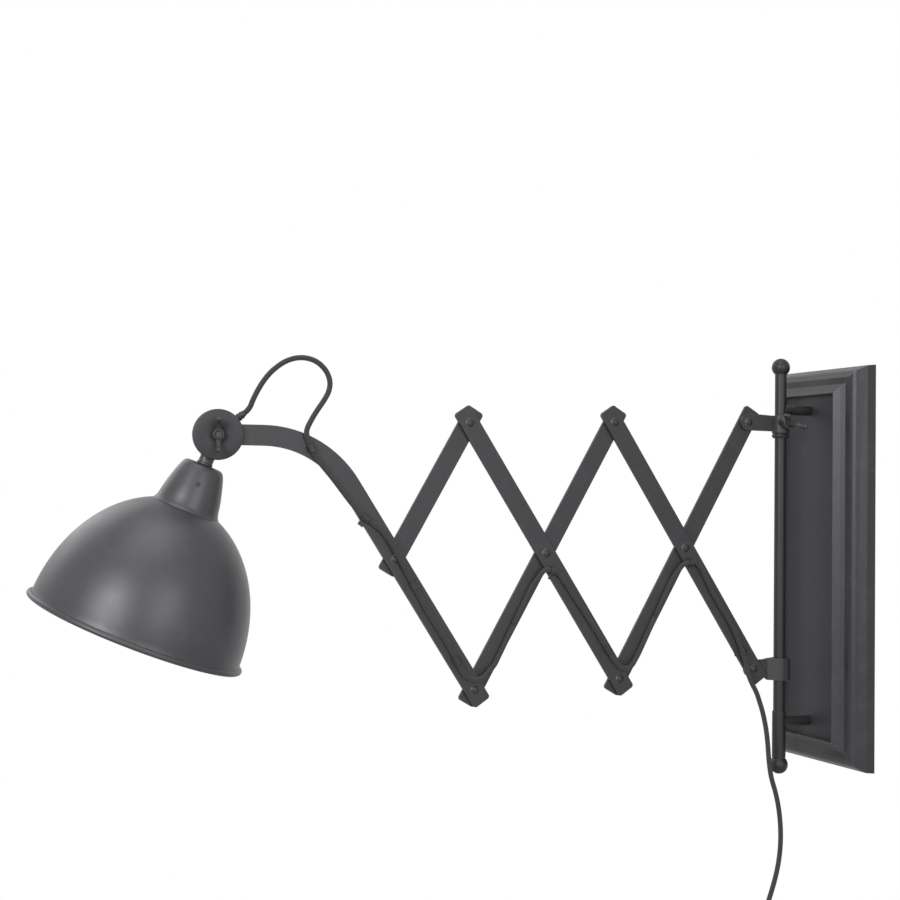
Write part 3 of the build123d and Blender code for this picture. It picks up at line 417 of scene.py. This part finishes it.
turnB1 = [(-427.4, -5.8, -94.0), (-424.1, -5.8, -100.2), (-416.6, -5.8, -105.6), (-408.2, -5.8, -107.0),
          (-401.2, -5.5, -103.8), (-396.0, -4.0, -97.8), (-390.1, -2.2, -93.6), (-387.3, -2.2, -88.3)]
turnM2 = [(-354.0, -2.2, -24.4), (-350.8, -2.2, -18.2), (-348.6, -3.0, -15.2), (-343.8, -4.6, -8.2),
          (-338.4, -5.8, -1.2), (-332.6, -5.8, -2.6)]
onD = [(-332.6, -5.8, -2.6), (-326.0, -5.8, -4.2), (-320.4, -5.8, -9.2), (-314.4, -5.8, -17.2),
       (-307.0, -5.8, -27.6), (-297.4, -5.8, -40.4), (-284.7, -5.8, -57.8), (-272.2, -5.8, -75.9),
       (-264.2, -5.8, -87.4)]
turnB2 = [(-264.2, -5.8, -87.4), (-260.2, -5.8, -93.1), (-253.6, -5.8, -99.6), (-246.6, -5.8, -101.4),
          (-240.4, -4.8, -98.2), (-235.8, -3.6, -92.0), (-232.7, -2.2, -88.7), (-229.9, -2.2, -83.4)]
turnM3 = [(-196.7, -2.2, -19.4), (-193.4, -2.2, -13.2), (-191.4, -3.2, -9.8), (-186.6, -4.8, -2.6),
          (-182.2, -5.8, 2.9), (-176.2, -5.8, 3.6)]
onB = [(-176.2, -5.8, 3.6), (-169.4, -5.8, 4.4), (-163.6, -5.8, 1.0), (-159.0, -5.8, -5.8),
       (-154.4, -5.8, -14.4), (-148.6, -5.8, -25.0), (-141.0, -5.8, -37.0), (-126.0, -5.8, -56.8),
       (-114.3, -5.8, -80.2), (-109.4, -5.8, -93.8)]
leadTop = [(-109.4, -5.8, -93.8), (-106.7, -5.8, -101.3), (-105.4, -6.6, -110.2), (-101.6, -7.2, -119.8),
           (-95.6, -7.9, -129.9), (-92.8, -8.6, -138.4)]
lead = [(-89.6, -9.4, -148.2), (-87.2, -10.2, -158.8), (-85.4, -11.0, -169.6), (-84.4, -11.8, -180.2),
        (-84.0, -12.6, -190.8), (-83.2, -13.2, -203.6), (-80.8, -13.6, -218.2), (-75.6, -13.8, -232.4),
        (-71.8, -13.9, -248.0), (-69.6, -14.0, -264.6), (-69.0, -14.0, -282.2), (-70.6, -14.0, -299.6),
        (-74.2, -14.0, -316.4), (-80.2, -14.0, -334.0), (-85.6, -14.0, -348.0), (-87.4, -14.0, -362.0)]

# the put away lead: turns that lie in three rings of three, then the short tail down to the plug
coil = {
    "middle": (-59.9, -14.0, -388.2),
    "layers": ((5, -5), (0, -5), (-5, -5), (-5, 0), (0, 0), (-5, 5), (0, 5), (5, 5), (5, 0)),
    "turnRadius": 27.5,
    "startAngle": 167,
    "stepsPerTurn": 16,
    "sidestep": 0.3,      # part of a turn over which the cord moves to its next lay
    "tail": ((-92.4, -14.0, -396.0), (-92.4, -14.0, -404.0), (-92.4, -14.0, -412.0)),
}


def coilPoints(v):
    x, y, z = v["middle"]
    steps = v["stepsPerTurn"]
    points = []
    for step in range(len(v["layers"]) * steps + 1):
        turn, part = divmod(step, steps)
        turn = min(turn, len(v["layers"]) - 1)
        here = v["layers"][turn]
        before = v["layers"][max(turn - 1, 0)]
        ease = min(part / steps / v["sidestep"], 1.0)
        out, aside = (b + (h - b) * ease for b, h in zip(before, here))
        angle = math.radians(v["startAngle"] + 360 * step / steps)
        radius = v["turnRadius"] + out
        points.append((x + radius * math.cos(angle), y + aside, z + radius * math.sin(angle)))
    return points + list(v["tail"])


# smooth line through space that follows a route's points, in metres
def routeLine(points):
    curve = bpy.data.curves.new("route", "CURVE")
    curve.dimensions = "3D"
    curve.resolution_u = 5
    spline = curve.splines.new("NURBS")
    spline.points.add(len(points) - 1)
    for point, place in zip(spline.points, points):
        point.co = (place[0] * mm, place[1] * mm, place[2] * mm, 1)
    spline.order_u = 3
    spline.use_endpoint_u = True
    holder = bpy.data.objects.new("route", curve)
    mesh = bpy.data.meshes.new_from_object(holder)
    line = [v.co.copy() for v in mesh.vertices]
    bpy.data.objects.remove(holder)
    bpy.data.curves.remove(curve)
    bpy.data.meshes.remove(mesh)
    return line


def lineLength(line):
    return sum((b - a).length for a, b in zip(line, line[1:]))


# round tube along a line, with a UV map of turns round it and metres along it
def tube(name, line, radius, sides, material, start):
    mesh = bpy.data.meshes.new(name)
    bm = bmesh.new()
    uv = bm.loops.layers.uv.new("UVMap")
    side = (line[1] - line[0]).normalized().orthogonal().normalized()
    rings = []
    along = []
    run = start
    for index, place in enumerate(line):
        before = line[max(index - 1, 0)]
        after = line[min(index + 1, len(line) - 1)]
        now = (after - before).normalized()
        side = (side - now * side.dot(now)).normalized()
        other = now.cross(side)
        if index:
            run += (place - before).length
        along.append(run)
        turns = [2 * math.pi * k / sides for k in range(sides)]
        rings.append([bm.verts.new(place + radius * (side * math.cos(t) + other * math.sin(t)))
                      for t in turns])
    for index, (ring, after) in enumerate(zip(rings, rings[1:])):
        for k in range(sides):
            n = (k + 1) % sides
            face = bm.faces.new((ring[k], ring[n], after[n], after[k]))
            face.smooth = True
            for loop, u, w in zip(face.loops, (k, k + 1, k + 1, k),
                                  (along[index], along[index], along[index + 1], along[index + 1])):
                loop[uv].uv = (u / sides, w)
    bm.faces.new(list(reversed(rings[0])))
    bm.faces.new(rings[-1])
    bm.to_mesh(mesh)
    bm.free()
    mesh.materials.append(material)
    return addObject(name, mesh)


# woven cover of the cord: threads that cross at a slant, over and under; its colour is painted shade in the
# hollows of the weave and painted highlight on the thread tops, with a faint fibre noise that is the cord's
# own
cordLook = {
    "radius": 2.5,
    "sides": 14,
    "strands": 12,        # threads round the cord
    "slant": 0.8,         # crossings along the cord against those round it
    "weaveHollowShade": grey(0.012),
    "weaveTopHighlight": grey(0.034),
    "fibreSize": 2600.0,
    "fibreLift": 0.35,
    "roughness": 0.85,
    "sheen": 0.12,
    "bump": 0.5,
    "bumpDepth": 0.0003,
}


def makeCordCover(v):
    material, tree, shader = newMaterial("wovenCover")
    uv = tree.nodes.new("ShaderNodeUVMap")
    uv.uv_map = "UVMap"
    apart = tree.nodes.new("ShaderNodeSeparateXYZ")
    tree.links.new(uv.outputs[0], apart.inputs[0])
    waves = math.pi * v["strands"]
    aroundCord = mathNode(tree, "MULTIPLY", apart.outputs[0], waves)
    alongCord = mathNode(tree, "MULTIPLY", apart.outputs[1],
                         waves / (2 * math.pi * v["radius"] * mm) * v["slant"])
    one = mathNode(tree, "SINE", mathNode(tree, "ADD", aroundCord, alongCord))
    two = mathNode(tree, "SINE", mathNode(tree, "SUBTRACT", aroundCord, alongCord))
    weave = mathNode(tree, "MULTIPLY", one, two)
    height = mathNode(tree, "ADD", mathNode(tree, "MULTIPLY", weave, 0.5), 0.5)
    place = tree.nodes.new("ShaderNodeTexCoord").outputs["Object"]
    fibre = noiseNode(tree, place, v["fibreSize"], 2)
    # painted shade and highlight: dark where the weave lies low, light where it lies high, varied by the
    # fibre noise
    shown = mathNode(tree, "MULTIPLY", height, mathNode(tree, "ADD", fibre, v["fibreLift"]))
    tree.links.new(mixColour(tree, shown, v["weaveHollowShade"], v["weaveTopHighlight"]), shader.inputs["Base Color"])
    shader.inputs["Roughness"].default_value = v["roughness"]
    shader.inputs["Sheen Weight"].default_value = v["sheen"]
    addBump(tree, shader, height, v["bump"], v["bumpDepth"])
    return material


def halfway(a, b):
    return tuple((p + q) / 2 for p, q in zip(a, b))


middleC = halfway(turnB1[-1], turnM2[0])
middleA = halfway(turnB2[-1], turnM3[0])

# one piece of cord for each stretch: where it lies, the CAD pieces that it stands for, and the body that it
# rides on or the two that it runs between, with where the bend begins and ends; a piece between two bodies
# is left fixed in place
cordStretches = (
    ("cordHeadToNeck", headLoop + onNeck, ("cord_head_loop", "cord_on_neck"),
     ("head", "swan_neck", (-641, 0, 0), (-596, 0, 0))),
    ("cordTurnB1", turnB1 + [middleC], ("cord_turn_b1", "cord_on_link_c"),
     ("swan_neck", "link_c", (-423, 0, 0), (-393, 0, 0))),
    ("cordTurnM2", [middleC] + turnM2, ("cord_turn_m2",),
     ("link_c", "link_d", (-351, 0, 0), (-336, 0, 0))),
    ("cordOnLinkD", onD, ("cord_on_link_d",), ("link_d",)),
    ("cordTurnB2", turnB2 + [middleA], ("cord_turn_b2", "cord_on_link_a"),
     ("link_d", "link_a", (-260, 0, 0), (-234, 0, 0))),
    ("cordTurnM3", [middleA] + turnM3, ("cord_turn_m3",),
     ("link_a", "link_b", (-194, 0, 0), (-180, 0, 0))),
    ("cordOnLinkB", onB, ("cord_on_link_b",), ("link_b",)),
    ("cordLead", leadTop + lead + coilPoints(coil), ("cord_lead_top", "cord_lead", "cord_coil"),
     ("link_b", "lower_bracket", (0, 0, -102), (0, 0, -134))),
)


def makeCords(v, stretches):
    cover = makeCordCover(v)
    cords = {}
    run = 0
    for name, route, standsFor, follows in stretches:
        line = routeLine(route)
        obj = tube(name, line, v["radius"] * mm, v["sides"], cover, run)
        if len(follows) == 1:
            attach(obj, follows[0])
        else:
            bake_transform(obj)
        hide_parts(*standsFor)
        cords[name] = (obj, line)
        run += lineLength(line)
    return cords


cords = makeCords(cordLook, cordStretches)

# where the head sits: mm and degrees
headPlace = {
    "elbow": (-663.8, 3.3137, 121.7),
    "turn": 11,
    "lean": 3.1,
    "tilt": 21.2,
    "reach": 191.9,    # rim plane to the elbow's axis
    "set": 10.3,       # elbow's middle to the shade's axis, along the elbow's axis
}


# frame in metres with its Z along up and its X along across
def placed(origin, across, up):
    turned = Matrix((across, up.cross(across), up)).transposed().to_4x4()
    return Matrix.Translation(Vector(origin) * mm) @ turned


headAlong, headLevel, headOver = threeWays(math.radians(headPlace["turn"]),
                                           math.radians(headPlace["lean"]))
headMiddle = Vector(headPlace["elbow"]) + headAlong * headPlace["set"]
elbowFrame = placed(headPlace["elbow"], headLevel, -headAlong)


def makeRimFrame(v):
    tilt = math.radians(v["tilt"])
    up = headOver * math.cos(tilt) + headLevel * math.sin(tilt)
    side = headLevel * math.cos(tilt) - headOver * math.sin(tilt)
    return placed(headMiddle - up * v["reach"], side, up)


rimFrame = makeRimFrame(headPlace)

# how modelled pieces are welded, rounded and smoothed: metres, then degrees
pieceEdges = {
    "weldWithin": 2e-6,
    "roundedAbove": 28,
    "segments": 3,
    "smoothBelow": 35,
}


# points of a smooth line through the given radius and height pairs
def smoothCurve(points, steps):
    ends = [points[0]] + list(points) + [points[-1]]
    line = []
    for a, b, c, d in zip(ends, ends[1:], ends[2:], ends[3:]):
        for k in range(steps):
            t = k / steps
            line.append(tuple(0.5 * (2 * q + (r - p) * t + (2 * p - 5 * q + 4 * r - s) * t * t
                                     + (3 * q - p - 3 * r + s) * t ** 3)
                              for p, q, r, s in zip(a, b, c, d)))
    line.append(points[-1])
    return line


def circlePart(middle, radius, start, end, steps):
    turns = [math.radians(start + (end - start) * k / steps) for k in range(steps + 1)]
    return [(middle[0] + radius * math.cos(t), middle[1] + radius * math.sin(t)) for t in turns]


# draws an outline in edit mode from a plane merged to a point, and leaves all of it selected
def drawOutline(name, points):
    bpy.ops.object.select_all(action="DESELECT")
    bpy.ops.mesh.primitive_plane_add(size=0.01)
    obj = bpy.context.object
    obj.name = name
    bpy.ops.object.mode_set(mode="EDIT")
    bpy.ops.mesh.select_all(action="SELECT")
    bpy.ops.mesh.merge(type="CENTER")
    bpy.ops.transform.translate(value=tuple(c * mm for c in points[0]))
    for here, after in zip(points, points[1:]):
        step = tuple((b - a) * mm for a, b in zip(here, after))
        bpy.ops.mesh.extrude_region_move(TRANSFORM_OT_translate={"value": step})
    bpy.ops.mesh.select_all(action="SELECT")
    return obj


# leaves edit mode, rounds the piece's corners, sets it in its place and gives it its material
def settle(obj, place, material, corner):
    bpy.ops.mesh.normals_make_consistent(inside=False)
    bpy.ops.object.mode_set(mode="OBJECT")
    if corner:
        bevel = obj.modifiers.new("roundedCorners", "BEVEL")
        bevel.width = corner * mm
        bevel.segments = pieceEdges["segments"]
        bevel.limit_method = "ANGLE"
        bevel.angle_limit = math.radians(pieceEdges["roundedAbove"])
        bpy.ops.object.modifier_apply(modifier=bevel.name)
    obj.data.transform(place)
    obj.data.materials.clear()
    obj.data.materials.append(material)
    bpy.ops.object.shade_smooth_by_angle(angle=math.radians(pieceEdges["smoothBelow"]))
    return obj


# turned piece: its outline, as radius and height pairs, is spun once round Z
def lathe(name, profile, place, material, steps, corner=0.0, closed=False):
    outline = [(radius, 0, height) for radius, height in profile]
    obj = drawOutline(name, outline + outline[:1] if closed else outline)
    bpy.ops.mesh.spin(steps=steps, angle=math.tau, center=(0, 0, 0), axis=(0, 0, 1))
    bpy.ops.mesh.select_all(action="SELECT")
    bpy.ops.mesh.remove_doubles(threshold=pieceEdges["weldWithin"])
    return settle(obj, place, material, corner)


# flat piece: its outline in X and Y is filled, extruded along Z and narrowed at its far end
def straightPlate(name, profile, thick, place, material, corner, narrow=1.0):
    outline = [(x, y, 0) for x, y in profile]
    obj = drawOutline(name, outline + outline[:1])
    bpy.ops.mesh.remove_doubles(threshold=pieceEdges["weldWithin"])
    bpy.ops.mesh.edge_face_add()
    bpy.ops.mesh.extrude_region_move(TRANSFORM_OT_translate={"value": (0, 0, thick * mm)})
    if narrow != 1.0:
        bpy.ops.transform.resize(value=(narrow, narrow, 1), center_override=(0, 0, thick * mm))
    bpy.ops.mesh.select_all(action="SELECT")
    return settle(obj, place, material, corner)


def joined(name, parts):
    bpy.ops.object.select_all(action="DESELECT")
    for part in parts:
        part.select_set(True)
    bpy.context.view_layer.objects.active = parts[0]
    bpy.ops.object.join()
    parts[0].name = name
    return parts[0]


# the piece stands for a CAD piece, which is hidden, and moves with a body
def mounted(obj, body, standsFor):
    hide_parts(standsFor)
    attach(obj, body)


shadeForm = {
    "dome": (98.5, 125.1),     # half width at the rim, height of the whole half ellipse
    "sheet": 1.0,
    "seam": 118.5,             # where the dome ends under the cup
    "bead": (99.6, 2.7),       # middle and radius of the rolled rim
    "beadTurn": (-216, 106),   # degrees, from inside the dome round below to the outside
    "beadSteps": 28,
    "hole": 19.6,
    "rings": 40,
    "sides": 160,
}


# quarter of an ellipse, cut off at a height
def ellipseRings(wide, high, cut, rings):
    last = math.asin(cut / high)
    return [(wide * math.cos(last * k / rings), high * math.sin(last * k / rings))
            for k in range(1, rings + 1)]


def shadeProfile(v):
    wide, high = v["dome"]
    sheet, seam = v["sheet"], v["seam"]
    outer = ellipseRings(wide, high, seam, v["rings"])
    inner = ellipseRings(wide - sheet, high - sheet, seam - sheet, v["rings"])
    middle, radius = v["bead"]
    bead = circlePart((middle, 0), radius, *v["beadTurn"], v["beadSteps"])
    top = [(v["hole"], seam), (v["hole"], seam - sheet)]
    return bead + outer + top + inner[:0:-1]


shade = lathe("shadeShell", shadeProfile(shadeForm), rimFrame, finishes["shadePaint"],
              shadeForm["sides"], closed=True)
mounted(shade, "head", "shade")

cupForm = {
    "top": 162.0,
    "sheet": 1.5,
    "hole": 5.1,
    "line": ((31.5, 118.6), (29.6, 121.6), (28.4, 126.0), (27.4, 131.5), (26.2, 137.0), (24.6, 143.0),
             (22.9, 149.0), (20.9, 155.0), (19.3, 158.6), (17.6, 160.7), (15.0, 161.8), (11.0, 162.0)),
    "steps": 4,                # between two points of the line
    "sides": 120,
}


def cupProfile(v):
    outer = smoothCurve(v["line"], v["steps"])
    top = v["top"] - v["sheet"]
    inner = [(r - v["sheet"], min(h, top)) for r, h in reversed(outer) if h < top]
    return outer + [(v["hole"], v["top"]), (v["hole"], top)] + inner


cup = lathe("neckCup", cupProfile(cupForm), rimFrame, finishes["shadePaint"], cupForm["sides"],
            closed=True)
mounted(cup, "head", "neck_cup")

stemForm = {
    "line": ((3.5, 155.2), (5.0, 155.2), (5.0, 161.9), (7.4, 162.1), (7.4, 163.6), (6.7, 164.2),
             (6.7, 171.6), (5.0, 171.6), (5.0, 176.4), (3.5, 176.4)),
    "sides": 64,
    "corner": 0.25,
    "screw": ((0.01, 6.2), (1.9, 6.2), (1.9, 7.8), (0.01, 8.2)),
    "screwHeight": 166.8,
    "screwTurn": 118,          # degrees round the stem
    "screwSides": 32,
    "screwCorner": 0.2,
}


def makeStem(v, material):
    tube = lathe("stemBody", v["line"], rimFrame, material, v["sides"], v["corner"], True)
    place = (rimFrame @ Matrix.Translation((0, 0, v["screwHeight"] * mm))
             @ Matrix.Rotation(math.radians(v["screwTurn"]), 4, "Z")
             @ Matrix.Rotation(math.radians(90), 4, "Y"))
    screw = lathe("stemScrew", v["screw"], place, material, v["screwSides"], v["screwCorner"])
    return joined("stemTube", [tube, screw])


mounted(makeStem(stemForm, finishes["shadePaint"]), "head", "stem")
print("shade, cup and stem made")

# heights are along the elbow's axis, towards the viewer
elbowForm = {
    "sides": 96,
    "cover": ((3.05, 2.7), (22.7, 2.7), (23.0, 3.0), (23.0, 5.6), (22.5, 6.7), (21.3, 7.2),
              (7.4, 7.2), (6.9, 7.0), (3.05, 7.0)),
    "housing": ((3.05, -2.7), (20.9, -2.7), (21.7, -3.0), (22.0, -3.8), (22.0, -17.6), (21.7, -17.9),
                (20.1, -17.9), (20.0, -17.7), (20.0, -4.7), (3.05, -4.7)),
    "cap": ((0.01, -16.4), (19.7, -16.4), (19.7, -17.3), (19.1, -17.8), (0.01, -17.8)),
}
# the elbow pieces take the darker copy of the shade's paint, a painted shade
for pieceName, profile, closed, standsFor in (
        ("elbowCover", "cover", True, "elbow_cover"),
        ("elbowHousing", "housing", True, "elbow_housing"),
        ("housingCap", "cap", False, "housing_cap")):
    piece = lathe(pieceName, elbowForm[profile], elbowFrame, finishes["elbowPaintShaded"],
                  elbowForm["sides"], closed=closed)
    mounted(piece, "head", standsFor)

# a hub with two opposite wings that stand off towards their tips
wingForm = {
    "hub": ((3.1, 7.3), (6.0, 7.3), (6.0, 8.6), (5.5, 13.6), (4.9, 15.0), (3.9, 15.2), (3.1, 14.7)),
    "hubSides": 48,
    "hubCorner": 0.3,
    "outline": ((2.9, 8.6), (6.2, 9.0), (9.0, 10.2), (11.6, 12.4), (14.0, 15.0), (15.6, 17.8),
                (15.9, 19.8), (15.2, 21.2), (13.8, 21.7), (12.2, 21.0), (10.6, 18.4), (8.2, 16.0),
                (5.6, 14.6), (2.9, 14.2)),
    "thick": 4.2,
    "corner": 1.2,
}


def makeWings(name, v, frame, material):
    parts = [lathe(name + "Hub", v["hub"], frame, material, v["hubSides"], v["hubCorner"], True)]
    middle = Matrix.Translation((0, 0, -v["thick"] / 2 * mm))
    for side in (1, -1):
        upright = Matrix(((0, 0, side, 0), (side, 0, 0, 0), (0, 1, 0, 0), (0, 0, 0, 1)))
        parts.append(straightPlate(name + "Wing", v["outline"], v["thick"],
                                   frame @ upright @ middle, material, v["corner"]))
    return joined(name, parts)


mounted(makeWings("wingNut", wingForm, elbowFrame, finishes["rivetPaint"]),
        "wing_nut", "wing_nut")

# ribbed sleeve that the lead leaves the elbow through, heights from the elbow's axis
glandForm = {
    "angle": 39,
    "line": ((2.55, 20.5), (3.9, 20.5), (3.9, 22.8), (3.5, 23.3), (3.5, 24.3), (3.8, 24.8), (3.8, 25.8),
             (3.3, 26.3), (3.3, 27.2), (3.6, 27.7), (3.6, 28.7), (3.1, 29.2), (3.0, 31.0), (2.55, 31.0)),
    "sides": 48,
    "corner": 0.15,
}


def makeGland(v, material):
    angle = math.radians(v["angle"])
    way = headLevel * math.cos(angle) + headOver * math.sin(angle)
    place = placed(headMiddle, headLevel.cross(headOver), way)
    return lathe("cordGland", v["line"], place, material, v["sides"], v["corner"], True)


gland = makeGland(glandForm, finishes["mouldedPlastic"])
mounted(gland, "head", "cord_gland")
print("elbow made")

plugForm = {
    "middle": (-92.4, -14.0, -432.2),      # shoulder of the moulded body
    "size": (35.0, 13.7, 30.0),
    "endSteps": 10,
    "narrow": 0.84,                        # width of the pin end against the shoulder
    "corner": 1.4,
    "relief": ((0.01, -0.5), (5.2, -0.5), (5.0, 3.0), (4.4, 3.8), (4.4, 5.4), (4.8, 6.2), (4.8, 8.0),
               (4.2, 8.8), (4.2, 10.4), (4.6, 11.2), (4.6, 13.0), (3.9, 13.8), (3.9, 15.4), (4.3, 16.2),
               (4.2, 18.0), (3.6, 18.8), (3.5, 22.7), (0.01, 22.7)),
    "reliefSides": 40,
    "reliefCorner": 0.2,
    "pin": ((0.01, 1.0), (2.0, 1.0), (2.0, -17.2), (1.3, -18.6), (0.01, -19.0)),
    "pinSides": 32,
    "spacing": 18.6,
}


def stadium(wide, deep, steps):
    straight = (wide - deep) / 2
    right = circlePart((straight, 0), deep / 2, -90, 90, steps)
    left = circlePart((-straight, 0), deep / 2, 90, 270, steps)
    return right + left


def makePlug(v):
    wide, deep, tall = v["size"]
    up = Matrix.Translation(Vector(v["middle"]) * mm)
    down = up @ Matrix.Rotation(math.pi, 4, "X")
    parts = [straightPlate("plugBody", stadium(wide, deep, v["endSteps"]), tall, down,
                           finishes["mouldedPlastic"], v["corner"], v["narrow"]),
             lathe("plugRelief", v["relief"], up, finishes["mouldedPlastic"], v["reliefSides"],
                   v["reliefCorner"])]
    for side in (1, -1):
        foot = up @ Matrix.Translation((side * v["spacing"] / 2 * mm, 0, -tall * mm))
        parts.append(lathe("plugPin", v["pin"], foot, finishes["zincPlatedSteel"], v["pinSides"]))
    return joined("flatPlug", parts)


plug = makePlug(plugForm)
mounted(plug, "lower_bracket", "plug")
print("plug made")

# the CAD pieces that are shown as they are, and their finishes
shownAsBuilt = {
    "framePaint": ("frame_rails", "frame_stiles"),
    "panelPaint": ("back_panel",),
    # the rod's pieces take the darker copy of the link paint, a painted shade
    "rodPaintShaded": ("guide_rod", "rod_balls", "posts", "stop_tube", "set_collar"),
    "linkPaint": ("upper_bracket", "link_a", "link_b", "link_c", "link_d", "short_link",
                  "swan_neck", "rod_strap"),
    "rivetPaint": ("rivets_bracket", "rivets_link_b", "rivets_link_d", "rivets_neck",
                   "washers_bracket", "washers_link_b", "washers_link_d", "washers_neck",
                   "strap_rivets", "clips_neck", "clips_link_d", "clips_link_b", "wing_screw"),
    "zincPlatedSteel": ("hanger_plates", "post_screws"),
    "blackenedSteel": ("elbow_bolt", "set_screw"),
    "fibreWasher": ("friction_washers",),
    "mouldedPlastic": ("lampholder", "shade_ring", "coil_tie"),
    "brassContact": ("holder_contact",),
}
for finish, names in shownAsBuilt.items():
    for name in names:
        materials = nodes[name].data.materials
        materials.clear()
        materials.append(finishes[finish])
print("CAD pieces finished")
